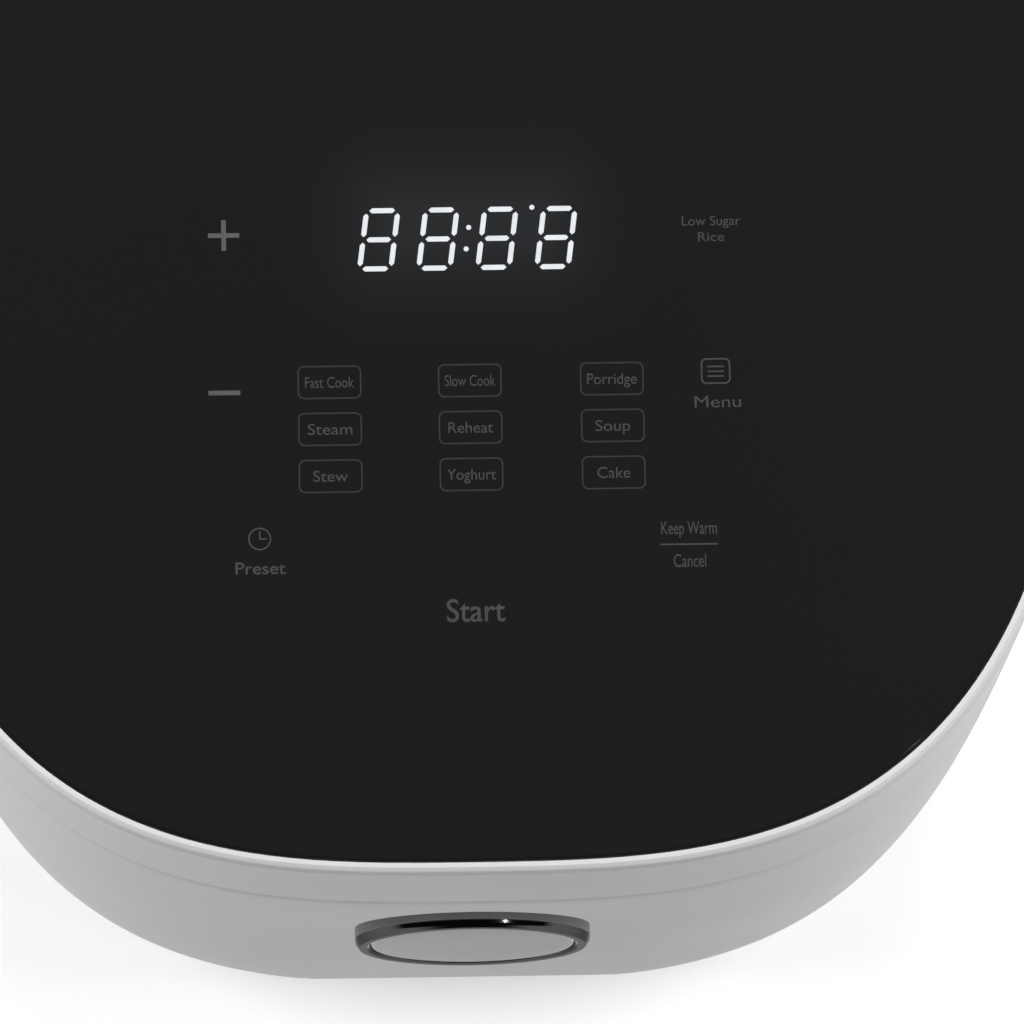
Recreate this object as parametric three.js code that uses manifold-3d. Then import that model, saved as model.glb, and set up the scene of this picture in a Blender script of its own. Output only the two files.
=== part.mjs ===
// A countertop rice cooker with a touch-panel lid, as an assembly of separate solids.
// Millimetres, +Z up. The origin is on the table under the middle of the cooker; the front faces -Y.
import * as THREE from "three";
import { mergeVertices } from "three/addons/utils/BufferGeometryUtils.js";
import Module from "manifold-3d";

const wasm = await Module();
wasm.setup();

// ---------- driving dimensions ----------
const HALF_WIDTH = 132; // touch panel, from the middle to its widest point
const FRONT_REACH = 178; // from the widest line to the panel's front tip
const REAR_REACH = 166; // from the widest line to the rear of the plan curve
const PLAN_POWER = 3.05; // superellipse power of the plan: 2 is an ellipse, more is squarer
const WIDEST_Y = 6; // where the plan is widest
const PLAN_STEPS = 40; // straight edges round the plan

const LID_TOP = 228;
const PANEL_THICK = 2.5;
const LID_SPLIT = 187; // lower edge of the lid's skirt
const SPLIT_GAP = 0.8;
const BODY_TOP = LID_SPLIT - SPLIT_GAP;
const BODY_BOTTOM = 14;
const BASE_BOTTOM = 4;
const WALL = 2.5;
const GAP = 0.3; // clearance between neighbouring pieces

const POT_Y = -8; // middle of the pot and heater
const POT_RADIUS = 108; // inside, at the top
const POT_WALL = 2.2;
const POT_BOTTOM = 64;
const FLANGE_RADIUS = 119;
const FLANGE_THICK = 1.5;
const DECK_TOP = 182;
const DECK_THICK = 2.5;
const LINER_RADIUS = 116.5;
const LINER_FLOOR = 36;
const PLATE_RADIUS = 92;

const HINGE_Y = 164.5;
const HINGE_Z = 189;
const BARREL_RADIUS = 5;
const HINGE_PIN_RADIUS = 2.5;
const LID_REAR = 158; // the lid's rear is cut flat here, plus the offset of each surface

const VENT_Y = 76; // steam vent in the lid
const VENT_RADIUS = 24;

const BUTTON_Z = 146;
const BUTTON_RADIUS = 22.5;
const RING_RADIUS = 26;
const BUTTON_FRONT = -179.1; // rim of the button's face, at half height
const FACE_LEAN = 0.0325; // how far the face leans back for each millimetre of height
const FACE_BACK = -175.9; // only what stands in front of this leans
const LATCH_PIVOT_Y = -157.5;
const LATCH_PIVOT_Z = 160;

const KEYPAD_Y = -79; // middle key of the touch panel
const DISPLAY_Y = KEYPAD_Y + 41;

// ---------- materials ----------
const finish = (color, roughness, metalness = 0) =>
  new THREE.MeshStandardMaterial({ color, roughness, metalness });
const materials = {
  whiteShell: finish(0xdcdcda, 0.35),
  whiteInner: finish(0xd0d0ce, 0.5),
  greyBase: finish(0x8d8e8c, 0.6),
  blackGlass: finish(0x060606, 0.08),
  darkChrome: finish(0x2a2c2e, 0.15, 1),
  buttonFace: finish(0xc9cac7, 0.3, 0.2),
  rubber: finish(0x2a2a2a, 0.85),
  silicone: finish(0xbfc2c4, 0.6),
  steel: finish(0xb9bbbd, 0.3, 1),
  aluminium: finish(0xc6c8ca, 0.35, 1),
  castAluminium: finish(0x9c9ea0, 0.55, 1),
  nonStick: finish(0x2b2c2e, 0.4),
  brass: finish(0xb8975a, 0.3, 1),
  circuit: finish(0x1f5a35, 0.5),
  component: finish(0x1c1d20, 0.5),
  winding: finish(0xc9a227, 0.5),
  clearPlastic: finish(0xd8dcdf, 0.2),
  leadRed: finish(0x9c2a22, 0.5),
  leadBlue: finish(0x28489c, 0.5),
};

// ---------- solids ----------
function solidOf(geometry) {
  const bare = geometry.index ? geometry.toNonIndexed() : geometry.clone();
  bare.deleteAttribute("normal");
  bare.deleteAttribute("uv");
  const merged = mergeVertices(bare, 1e-3);
  const triVerts = new Uint32Array(merged.index.array);
  const vertProperties = new Float32Array(merged.attributes.position.array);
  const made = new wasm.Manifold(new wasm.Mesh({ numProp: 3, vertProperties, triVerts }));
  if (made.volume() > 0) return made;
  for (let i = 0; i < triVerts.length; i += 3) {
    [triVerts[i + 1], triVerts[i + 2]] = [triVerts[i + 2], triVerts[i + 1]];
  }
  return new wasm.Manifold(new wasm.Mesh({ numProp: 3, vertProperties, triVerts }));
}

function geometryOf(solid) {
  const mesh = solid.getMesh();
  const position = new Float32Array(mesh.numVert * 3);
  for (let i = 0; i < mesh.numVert; i++) {
    position.set(mesh.vertProperties.subarray(i * mesh.numProp, i * mesh.numProp + 3), i * 3);
  }
  const geometry = new THREE.BufferGeometry();
  geometry.setAttribute("position", new THREE.BufferAttribute(position, 3));
  geometry.setIndex(new THREE.BufferAttribute(new Uint32Array(mesh.triVerts), 1));
  geometry.computeVertexNormals();
  return geometry;
}

const join = (first, ...others) => others.reduce((sum, next) => sum.add(next), first);
const cut = (first, ...others) => others.reduce((rest, next) => rest.subtract(next), first);

function box(x0, x1, y0, y1, z0, z1) {
  const geometry = new THREE.BoxGeometry(x1 - x0, y1 - y0, z1 - z0);
  geometry.translate((x0 + x1) / 2, (y0 + y1) / 2, (z0 + z1) / 2);
  return solidOf(geometry);
}

function upright(radius, x, y, z0, z1, steps = 24) {
  const geometry = new THREE.CylinderGeometry(radius, radius, z1 - z0, steps);
  geometry.rotateX(Math.PI / 2);
  geometry.translate(x, y, (z0 + z1) / 2);
  return solidOf(geometry);
}

function crosswise(radius, x0, x1, y, z, steps = 24) {
  const geometry = new THREE.CylinderGeometry(radius, radius, x1 - x0, steps);
  geometry.rotateZ(Math.PI / 2);
  geometry.translate((x0 + x1) / 2, y, z);
  return solidOf(geometry);
}

// A solid of revolution about the vertical line through (x, y); profile points are [radius, z].
function turned(profile, x, y, steps = 40) {
  const geometry = new THREE.LatheGeometry(profile.map(([r, z]) => new THREE.Vector2(r, z)), steps);
  geometry.rotateX(Math.PI / 2);
  geometry.translate(x, y, 0);
  return solidOf(geometry);
}

// The same about the line along Y through (x, z); profile points are [radius, y].
function turnedAlongY(profile, x, z, steps = 40, lean = 0) {
  const geometry = new THREE.LatheGeometry(profile.map(([r, y]) => new THREE.Vector2(r, y)), steps);
  const points = geometry.attributes.position;
  for (let i = 0; i < points.count; i += 1) {
    if (points.getY(i) < FACE_BACK) points.setY(i, points.getY(i) + lean * points.getZ(i));
  }
  geometry.translate(x, 0, z);
  return solidOf(geometry);
}

const closed = (profile) => [...profile, profile[0]];

const superellipse = (value) => Math.sign(value) * Math.abs(value) ** (2 / PLAN_POWER);

// A point of the cooker's plan, offset outwards from the touch panel's edge; rearCut makes its rear flat.
function planPoint(angle, offset, rearCut = Infinity) {
  const reach = (Math.sin(angle) < 0 ? FRONT_REACH : REAR_REACH) + offset;
  const x = (HALF_WIDTH + offset) * superellipse(Math.cos(angle));
  const y = WIDEST_Y + reach * superellipse(Math.sin(angle));
  return new THREE.Vector2(x, Math.min(y, rearCut + offset));
}

// Half the plan's width where it crosses y.
function halfWidthAt(y, offset) {
  const reach = (y < WIDEST_Y ? FRONT_REACH : REAR_REACH) + offset;
  const across = 1 - Math.abs((y - WIDEST_Y) / reach) ** PLAN_POWER;
  return (HALF_WIDTH + offset) * across ** (1 / PLAN_POWER);
}

// A band that follows the plan; profile points are [offset, z]. A lathe is made first, then bent to the plan.
function planBand(profile, rearCut) {
  const points = closed(profile).map(([offset, z]) => new THREE.Vector2(HALF_WIDTH + offset, z));
  const geometry = new THREE.LatheGeometry(points, PLAN_STEPS);
  geometry.rotateX(Math.PI / 2);
  const position = geometry.attributes.position;
  for (let i = 0; i < position.count; i++) {
    const [x, y] = [position.getX(i), position.getY(i)];
    const point = planPoint(Math.atan2(y, x), Math.hypot(x, y) - HALF_WIDTH, rearCut);
    position.setXY(i, point.x, point.y);
  }
  return solidOf(geometry);
}

function planPlate(offset, z0, z1, rearCut) {
  const outline = [];
  for (let i = 0; i < PLAN_STEPS; i++) {
    outline.push(planPoint((i / PLAN_STEPS) * 2 * Math.PI, offset, rearCut));
  }
  const geometry = new THREE.ExtrudeGeometry(new THREE.Shape(outline), {
    depth: z1 - z0,
    bevelEnabled: false,
  });
  geometry.translate(0, 0, z0);
  return solidOf(geometry);
}

function regularShape(radius, sides) {
  const shape = new THREE.Shape();
  shape.absarc(0, 0, radius, 0, 2 * Math.PI);
  return new THREE.Shape(shape.getPoints(sides).slice(0, sides));
}

class HelixCurve extends THREE.Curve {
  constructor(radius, length, turns) {
    super();
    Object.assign(this, { radius, length, turns });
  }
  getPoint(t, target = new THREE.Vector3()) {
    const angle = t * this.turns * 2 * Math.PI;
    return target.set(this.radius * Math.cos(angle), this.radius * Math.sin(angle), t * this.length);
  }
}

// A coil spring along Z from z = 0; the caller turns it and puts it in place.
function coilGeometry(radius, length, turns, wire) {
  return new THREE.ExtrudeGeometry(regularShape(wire, 4), {
    steps: turns * 8,
    extrudePath: new HelixCurve(radius, length, turns),
  });
}

function lead(radius, points) {
  const curve = new THREE.CatmullRomCurve3(points.map((p) => new THREE.Vector3(...p)));
  return solidOf(
    new THREE.ExtrudeGeometry(regularShape(radius, 5), { steps: 10, extrudePath: curve }),
  );
}

const cooker = new THREE.Group();
const lid = new THREE.Group();
cooker.add(lid);

function place(name, solid, material, parent = cooker) {
  const mesh = new THREE.Mesh(geometryOf(solid), material);
  mesh.name = name;
  parent.add(mesh);
}

// The four corners of a rectangle about (0, midY), with a name for each.
function corners(halfX, frontY, rearY) {
  return [
    ["front_left", -halfX, frontY],
    ["front_right", halfX, frontY],
    ["rear_left", -halfX, rearY],
    ["rear_right", halfX, rearY],
  ];
}

// ---------- outer casing ----------
const SHELL_SIDE = [
  [-4, BODY_BOTTOM],
  [-1.2, 21],
  [1.2, 44],
  [3.2, 116],
  [3, BODY_TOP],
];
const INLET_Z = 60;
const INLET_HALF_WIDTH = 14;
const INLET_HALF_HEIGHT = 11;
const DEW_HALF_WIDTH = 32;
const DEW_BOTTOM = 146;
const DEW_TOP = 178;
const BASE_SCREW_SPOTS = corners(112, -62, 74);
const LID_SCREW_SPOTS = corners(108, -82, 84);

// A screw boss tied to the side wall by a rib, which ends at this offset of the plan.
function boss(x, y, z0, z1, offset) {
  const side = Math.sign(x);
  const ribEnd = halfWidthAt(y, offset);
  const rib = side > 0 ? box(x, ribEnd, y - 1, y + 1, z0, z1) : box(-ribEnd, x, y - 1, y + 1, z0, z1);
  return cut(join(upright(4.5, x, y, z0, z1, 8), rib), upright(2.2, x, y, z0 - 1, z1 + 1, 8));
}

function bodyShell() {
  const inside = SHELL_SIDE.map(([offset, z]) => [offset - WALL, z]).reverse();
  let shell = planBand([...SHELL_SIDE, ...inside]);
  for (const [, x, y] of BASE_SCREW_SPOTS) shell = join(shell, boss(x, y, 22, 46, -2.6));
  const buttonHole = turnedAlongY([[0, -190], [24.8, -190], [24.8, -160], [0, -160]], 0, BUTTON_Z);
  const inletHole = box(
    -INLET_HALF_WIDTH - 0.4, INLET_HALF_WIDTH + 0.4, 150, 190,
    INLET_Z - INLET_HALF_HEIGHT - 0.4, INLET_Z + INLET_HALF_HEIGHT + 0.4,
  );
  const dewHole = box(
    -DEW_HALF_WIDTH - 1, DEW_HALF_WIDTH + 1, 150, 190, DEW_BOTTOM - 1, DEW_TOP + 1,
  );
  return cut(shell, buttonHole, inletHole, dewHole);
}

const FOOT_SPOTS = corners(84, -112, 118);

function basePlate() {
  let plate = planPlate(-9, BASE_BOTTOM, BASE_BOTTOM + WALL);
  const wall = [
    [-9, BASE_BOTTOM],
    [-6.4, BASE_BOTTOM + 2.6],
    [-5.2, BODY_BOTTOM - GAP],
    [-7.7, BODY_BOTTOM - GAP],
    [-11, BASE_BOTTOM + WALL],
    [-11, BASE_BOTTOM],
  ];
  plate = join(plate, planBand(wall));
  for (const [, x, y] of BOARD_SPOTS) {
    plate = join(plate, upright(3, x, y, BASE_BOTTOM + 1, BOARD_Z - GAP, 6));
  }
  for (const [, x, y] of FOOT_SPOTS) plate = cut(plate, upright(3.4, x, y, 0, 20, 8));
  for (const [, x, y] of BASE_SCREW_SPOTS) {
    plate = cut(plate, upright(2.4, x, y, 0, 20, 8), upright(4.3, x, y, 0, BASE_BOTTOM + 1.2, 8));
  }
  for (let i = -2; i <= 2; i++) {
    plate = cut(plate, box(i * 14 - 2, i * 14 + 2, POT_Y - 28, POT_Y + 28, 0, 20));
  }
  return plate;
}

function foot(x, y) {
  const shoulder = BASE_BOTTOM - 0.1;
  const profile = [[0, 0], [7, 0], [8, 1], [8, shoulder], [2.9, shoulder], [2.9, 9], [0, 9]];
  return turned(profile, x, y, 12);
}

function screw(x, y, headZ, tipZ) {
  const profile = [[0, headZ], [3.7, headZ], [3.7, headZ + 1], [1.9, headZ + 1], [1.9, tipZ], [0, tipZ]];
  return turned(profile, x, y, 8);
}

// ---------- top deck ----------
const KNUCKLE_INNER = 34;
const KNUCKLE_OUTER = 50;
const LATCH_SLOT_HALF = 11;
const DRAIN_HALF = 14;

function topDeck() {
  const plate = planPlate(0.2, DECK_TOP - DECK_THICK, DECK_TOP);
  const ringTop = DECK_TOP - 1;
  const ring = turned(
    closed([[112.5, 172], [114.5, 172], [114.5, ringTop], [112.5, ringTop]]), 0, POT_Y, 30,
  );
  let deck = join(cut(plate, upright(112.5, 0, POT_Y, 160, 200, 30)), ring);
  for (const side of [-1, 1]) {
    const [x0, x1] = [side * KNUCKLE_INNER, side * KNUCKLE_OUTER].sort((a, b) => a - b);
    deck = join(
      deck,
      box(x0, x1, HINGE_Y - 4, HINGE_Y + 4, DECK_TOP - 1, HINGE_Z),
      crosswise(BARREL_RADIUS, x0, x1, HINGE_Y, HINGE_Z),
    );
  }
  const latchSlot = box(-LATCH_SLOT_HALF, LATCH_SLOT_HALF, -154, -135, 170, 190);
  const drain = box(-DRAIN_HALF, DRAIN_HALF, 147.5, 157.5, 170, 190);
  const pinHole = crosswise(HINGE_PIN_RADIUS + 0.1, -52, 52, HINGE_Y, HINGE_Z);
  return cut(deck, latchSlot, drain, pinHole);
}

// ---------- pot and heater ----------
function innerLiner() {
  const [r, z] = [LINER_RADIUS, LINER_FLOOR];
  const profile = [[13, z], [r + 1, z], [r + 1, 171.6], [r, 171.6], [r, z + 1], [13, z + 1]];
  return turned(closed(profile), 0, POT_Y, 30);
}

function heatingPlate() {
  const profile = [
    [21, 50], [58, 49], [60, 42], [72, 42], [74, 49], [PLATE_RADIUS, 52],
    [PLATE_RADIUS, POT_BOTTOM - GAP], [21, POT_BOTTOM - GAP],
  ];
  let plate = turned(closed(profile), 0, POT_Y, 30);
  for (const turn of [90, 210, 330]) {
    const angle = (turn * Math.PI) / 180;
    const [x, y] = [66 * Math.cos(angle), POT_Y + 66 * Math.sin(angle)];
    plate = join(plate, upright(5, x, y, LINER_FLOOR + 1 + GAP, 44, 6));
  }
  return plate;
}

function sensorCap() {
  const profile = [
    [0, 63.4], [16.5, 63.4], [18, 62], [18, 53], [16.6, 53], [16.6, 61.4], [4, 61.4], [4, 44], [0, 44],
  ];
  return turned(profile, 0, POT_Y, 20);
}

function sensorGuide() {
  const top = 50;
  const profile = [
    [4.3, LINER_FLOOR + 1 + GAP], [17, LINER_FLOOR + 1 + GAP], [17, LINER_FLOOR + 3.3],
    [6, LINER_FLOOR + 3.3], [6, top], [4.3, top],
  ];
  return turned(closed(profile), 0, POT_Y, 20);
}

function sensorSpring() {
  const bottom = LINER_FLOOR + 5;
  const geometry = coilGeometry(9, 60.2 - bottom, 5, 0.6);
  geometry.translate(0, POT_Y, bottom);
  return solidOf(geometry);
}

const POT_SIDE = POT_RADIUS + POT_WALL;
const FLANGE_BOTTOM = DECK_TOP + GAP;
const FLANGE_TOP = FLANGE_BOTTOM + FLANGE_THICK;

function innerPot() {
  const floor = POT_BOTTOM + 2.4;
  const profile = [
    [0, POT_BOTTOM], [92, POT_BOTTOM], [102, POT_BOTTOM + 4], [108, POT_BOTTOM + 13],
    [POT_SIDE, POT_BOTTOM + 28], [POT_SIDE, FLANGE_BOTTOM], [FLANGE_RADIUS, FLANGE_BOTTOM],
    [FLANGE_RADIUS, FLANGE_TOP], [POT_RADIUS, FLANGE_TOP], [POT_RADIUS, POT_BOTTOM + 28],
    [106, POT_BOTTOM + 15], [100.5, POT_BOTTOM + 6.3], [91, floor], [0, floor],
  ];
  return turned(profile, 0, POT_Y, 30);
}

const BASKET_FLOOR = 110;
const BASKET_TOP = 166;

function strainerBasket() {
  const sheet = 1.2;
  const profile = [
    [0, BASKET_FLOOR], [94, BASKET_FLOOR], [98, BASKET_FLOOR + 4], [101, BASKET_TOP],
    [105, BASKET_TOP], [105, BASKET_TOP + sheet], [99.8, BASKET_TOP + sheet],
    [96.8, BASKET_FLOOR + 5], [93.4, BASKET_FLOOR + sheet], [0, BASKET_FLOOR + sheet],
  ];
  let basket = turned(profile, 0, POT_Y, 30);
  for (const turn of [30, 150, 270]) {
    const angle = (turn * Math.PI) / 180;
    const [x, y] = [84 * Math.cos(angle), POT_Y + 84 * Math.sin(angle)];
    basket = join(basket, upright(4, x, y, POT_BOTTOM + 2.4 + GAP, BASKET_FLOOR + 0.5, 6));
  }
  const slots = 10;
  for (let i = 0; i < slots; i++) {
    const geometry = new THREE.BoxGeometry(36, 3, 8);
    geometry.translate(52, 0, 0);
    geometry.rotateZ((i / slots) * 2 * Math.PI);
    geometry.translate(0, POT_Y, BASKET_FLOOR);
    basket = cut(basket, solidOf(geometry));
  }
  return basket;
}

// ---------- electronics in the base ----------
const BOARD_Z = 20;
const BOARD_THICK = 1.6;
const BOARD_TOP = BOARD_Z + BOARD_THICK;
const BOARD_SPOTS = corners(66, 48, 134);

const powerBoard = () => box(-74, 74, 40, 142, BOARD_Z, BOARD_TOP);
const transformer = () => box(-56, -22, 115, 139, BOARD_TOP + GAP, BOARD_TOP + 27);
const relay = () => box(-6, 22, 120, 136, BOARD_TOP + GAP, BOARD_TOP + 17);
const filterCapacitor = () => box(36, 62, 122, 134, BOARD_TOP + GAP, BOARD_TOP + 20);

const thermalFuse = () => crosswise(2, -9, 9, POT_Y + 38, 45.6, 12);

// ---------- mains inlet ----------
const INLET_REAR = 174.5;

function inletSocket() {
  const [w, h] = [INLET_HALF_WIDTH, INLET_HALF_HEIGHT];
  const body = box(-w, w, 150, 172, INLET_Z - h, INLET_Z + h);
  const flange = box(-w - 5, w + 5, 168.2, 169.7, INLET_Z - h - 4, INLET_Z + h + 4);
  const collar = box(-w, w, 170, INLET_REAR, INLET_Z - h, INLET_Z + h);
  const cavity = box(-w + 2, w - 2, 154, 190, INLET_Z - h + 2.5, INLET_Z + h - 2.5);
  let socket = cut(join(body, flange, collar), cavity);
  for (const [, x, z] of PIN_SPOTS) socket = cut(socket, box(x - 1.3, x + 1.3, 140, 160, z - 2.3, z + 2.3));
  return socket;
}

const PIN_SPOTS = [
  ["live", -7, INLET_Z - 2],
  ["neutral", 7, INLET_Z - 2],
  ["earth", 0, INLET_Z + 2],
];

const inletPin = (x, z) => box(x - 1, x + 1, 144, 164, z - 2, z + 2);

function inletLead(side) {
  return lead(1.1, [
    [side * 7, 143.2, INLET_Z - 2],
    [side * 9, 139, INLET_Z - 5],
    [side * 16, 130, 52],
    [side > 0 ? 28 : -14, 128, 40],
    [side > 0 ? 29 : -14, 128, BOARD_TOP + 0.8],
  ]);
}

// ---------- condensate collector ----------
function dewCollector() {
  const [w, z0, z1] = [DEW_HALF_WIDTH, DEW_BOTTOM, DEW_TOP];
  const cup = box(-w, w, 146, 176.5, z0, z1);
  const hollow = box(-w + 2, w - 2, 148, 174.5, z0 + 2, z1 + 5);
  const tab = box(-12, 12, 176, 180, z1 - 7, z1 - 4);
  return join(cut(cup, hollow), tab);
}

// ---------- lid hinge ----------
const hingePin = () => crosswise(HINGE_PIN_RADIUS, -49.6, 49.6, HINGE_Y, HINGE_Z);

function hingeSpring() {
  const geometry = coilGeometry(3.7, 22, 5, 0.7);
  geometry.rotateY(Math.PI / 2);
  geometry.translate(-11, HINGE_Y, HINGE_Z);
  return solidOf(geometry);
}

// ---------- front button and latch ----------
function openButton() {
  const [r, front] = [BUTTON_RADIUS, BUTTON_FRONT];
  const back = front + 8.7;
  const profile = [
    [0, front - 0.9], [8, front - 0.8], [15, front - 0.45], [r - 1, front], [r, front + 0.8],
    [r, back], [r - 2, back], [r - 2, front + 3.7], [4, front + 3.7], [4, -161], [0, -161],
  ];
  return turnedAlongY(profile, 0, BUTTON_Z, 26, FACE_LEAN);
}

function buttonRing() {
  const inner = BUTTON_RADIUS + 0.5;
  const profile = [
    [inner, BUTTON_FRONT + 0.8], [inner + 0.8, BUTTON_FRONT], [inner + 1.9, BUTTON_FRONT + 0.1],
    [RING_RADIUS - 0.3, BUTTON_FRONT + 1.2], [RING_RADIUS, -175.8], [24.4, -175.8], [24.4, -172.4],
    [inner, -172.4],
  ];
  return turnedAlongY(closed(profile), 0, BUTTON_Z, 26, FACE_LEAN);
}

function buttonGuide() {
  const tube = turnedAlongY(
    closed([[23, -171], [25, -171], [25, -163.6], [4.6, -163.6], [4.6, -165.4], [23, -165.4]]),
    0, BUTTON_Z, 20,
  );
  const ears = [-1, 1].map((side) => {
    const [x0, x1] = [side * 8, side * 11].sort((a, b) => a - b);
    return box(x0, x1, -164.4, LATCH_PIVOT_Y + 4, LATCH_PIVOT_Z - 5, LATCH_PIVOT_Z + 4);
  });
  const pinHole = crosswise(1.6, -12, 12, LATCH_PIVOT_Y, LATCH_PIVOT_Z, 16);
  return cut(join(tube, ...ears), pinHole);
}

const BUTTON_SPRING_REAR = -166.3;

function buttonSpring() {
  const front = BUTTON_FRONT + 4.7;
  const geometry = coilGeometry(7.5, BUTTON_SPRING_REAR - front, 3, 0.6);
  geometry.rotateX(Math.PI / 2);
  geometry.translate(0, BUTTON_SPRING_REAR, BUTTON_Z);
  return solidOf(geometry);
}

const latchPin = () => crosswise(1.5, -11.5, 11.5, LATCH_PIVOT_Y, LATCH_PIVOT_Z, 16);

function latchLever() {
  const arm = box(-6, 6, -159.4, -157, BUTTON_Z - 1.5, 172.5);
  const pad = crosswise(2, -6, 6, -158.7, BUTTON_Z, 14);
  const nose = box(-6, 6, -159.4, -150.2, 169.5, 172.5);
  const hub = crosswise(3.6, -6, 6, LATCH_PIVOT_Y, LATCH_PIVOT_Z, 14);
  const bore = crosswise(1.7, -8, 8, LATCH_PIVOT_Y, LATCH_PIVOT_Z, 14);
  return cut(join(arm, pad, nose, hub), bore);
}

// ---------- lid ----------
const PANEL_BOTTOM = LID_TOP - PANEL_THICK;
const LID_BASE_BOTTOM = LID_SPLIT + 0.6;
const LID_BASE_TOP = LID_BASE_BOTTOM + 2.5;
const PAN_RADIUS = 112;
const PAN_ROOF = 198;
const BARREL_ROOM = 0.8; // round the body's hinge knuckles

function barrelClearance() {
  const reach = KNUCKLE_OUTER + BARREL_ROOM;
  return crosswise(BARREL_RADIUS + BARREL_ROOM, -reach, reach, HINGE_Y, HINGE_Z);
}

function touchPanel() {
  const panel = planPlate(0, PANEL_BOTTOM, LID_TOP, LID_REAR - 2.8);
  return cut(panel, upright(VENT_RADIUS + 0.4, 0, VENT_Y, 220, 240, 24));
}

function lidFrame() {
  const ledge = PANEL_BOTTOM - GAP;
  const profile = [
    [3, LID_SPLIT], [2.7, 205], [2.1, 224], [1.5, LID_TOP - 1], [0.5, LID_TOP - 0.4],
    [0.4, ledge], [-5, ledge], [-5, ledge - 2], [-0.4, ledge - 4], [0.4, LID_SPLIT],
  ];
  let frame = planBand(profile, LID_REAR);
  for (const [, x, y] of LID_SCREW_SPOTS) frame = join(frame, boss(x, y, LID_BASE_TOP + GAP, 206, 1.5));
  for (const side of [-1, 1]) {
    const [x0, x1] = [side * 13.4, side * 34].sort((a, b) => a - b);
    frame = cut(frame, box(x0, x1, 150, 170, 180, LID_BASE_TOP + 2));
  }
  return cut(frame, barrelClearance());
}

function lidBase() {
  const plate = planPlate(0, LID_BASE_BOTTOM, LID_BASE_TOP, LID_REAR - 2.2);
  const [r, roof] = [PAN_RADIUS, PAN_ROOF];
  const pan = turned(
    [[0, roof], [r, roof], [r, LID_BASE_BOTTOM], [r + 2, LID_BASE_BOTTOM], [r + 2, roof + 2], [0, roof + 2]],
    0, POT_Y, 30,
  );
  const well = turned(
    closed([[VENT_RADIUS, roof + 1], [VENT_RADIUS + 1.6, roof + 1],
      [VENT_RADIUS + 1.6, PANEL_BOTTOM - GAP], [VENT_RADIUS, PANEL_BOTTOM - GAP]]),
    0, VENT_Y, 24,
  );
  const post = upright(3.9, 0, POT_Y, 184.6, roof + 1, 12);
  let base = cut(plate, upright(PAN_RADIUS + 1, 0, POT_Y, 180, 192, 30), barrelClearance());
  base = join(base, pan, well, post);
  for (const side of [-1, 1]) {
    const [x0, x1] = [side * 14, side * 33.4].sort((a, b) => a - b);
    base = join(
      base,
      box(x0, x1, 150, HINGE_Y, LID_BASE_BOTTOM, LID_BASE_TOP + 1.4),
      crosswise(BARREL_RADIUS, x0, x1, HINGE_Y, HINGE_Z),
    );
  }
  base = cut(
    base,
    crosswise(HINGE_PIN_RADIUS + 0.1, -52, 52, HINGE_Y, HINGE_Z),
    upright(13, 0, VENT_Y, 190, 205, 24),
    upright(3.4, 45, POT_Y + 40, 190, 205, 12),
  );
  for (const [, x, y] of LID_SCREW_SPOTS) {
    base = cut(
      base,
      upright(2.4, x, y, 180, 200, 8),
      upright(4.3, x, y, 180, LID_BASE_BOTTOM + 1.2, 8),
    );
  }
  return base;
}

function innerLid() {
  const z = 186;
  const profile = [
    [4.6, z + 1.6], [96, z + 1.6], [101, z], [108.4, z], [108.4, z + 1.2], [101.6, z + 1.2],
    [96.6, z + 2.8], [4.6, z + 2.8],
  ];
  let plate = turned(closed(profile), 0, POT_Y, 30);
  for (const [x, y] of [[0, 0], [8, 0], [-8, 0], [0, 8], [0, -8]]) {
    plate = cut(plate, upright(2.5, x, VENT_Y + y - 4, 180, 195, 6));
  }
  return plate;
}

function innerLidGasket() {
  const [r, low] = [108.8, FLANGE_TOP + GAP];
  const profile = [
    [r, low + 1.4], [r + 3, low], [r + 8.6, low], [r + 9.2, low + 1], [r + 8.6, 187.2],
    [r + 2.6, 187.2], [r + 2.6, 191], [r, 191],
  ];
  return turned(closed(profile), 0, POT_Y, 30);
}

function innerLidGrommet() {
  const profile = [
    [4.2, 185], [8.5, 185], [8.5, 187.3], [4.4, 187.3], [4.4, 189.1], [7.5, 189.1], [7.5, 191], [4.2, 191],
  ];
  return turned(closed(profile), 0, POT_Y, 12);
}

function ventCap() {
  const r = VENT_RADIUS - 0.4;
  const profile = [
    [0, LID_TOP + 1.6], [r - 3, LID_TOP + 1.6], [r - 0.8, LID_TOP + 1.1], [r, LID_TOP],
    [r, PANEL_BOTTOM], [r - 2.2, PANEL_BOTTOM], [r - 2.2, 219], [r - 3.6, 219],
    [r - 3.6, PANEL_BOTTOM + 0.6], [0, PANEL_BOTTOM + 0.6],
  ];
  let cap = turned(profile, 0, VENT_Y, 24);
  for (let i = -2; i <= 2; i++) {
    const half = 12 - Math.abs(i) * 1.6;
    cap = cut(cap, box(-half, half, VENT_Y + i * 5 - 1.1, VENT_Y + i * 5 + 1.1, 220, 240));
  }
  return cap;
}

function ventCup() {
  const r = VENT_RADIUS - 0.8;
  const floor = PAN_ROOF + 2 + GAP + 0.4;
  const profile = [
    [4, 193], [10.8, 193], [10.8, floor], [r, floor], [r, PANEL_BOTTOM - 0.6],
    [r - 1.4, PANEL_BOTTOM - 0.6], [r - 1.4, floor + 1.4], [4, floor + 1.4],
  ];
  return turned(closed(profile), 0, VENT_Y, 24);
}

function ventSeal() {
  const profile = [[11, 197], [12.8, 197], [12.8, PAN_ROOF + 2.2], [11, PAN_ROOF + 2.2]];
  return turned(closed(profile), 0, VENT_Y, 20);
}

const TRAY_BOTTOM = 211;
const LID_BOARD_Z = TRAY_BOTTOM + 2 + GAP;

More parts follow.
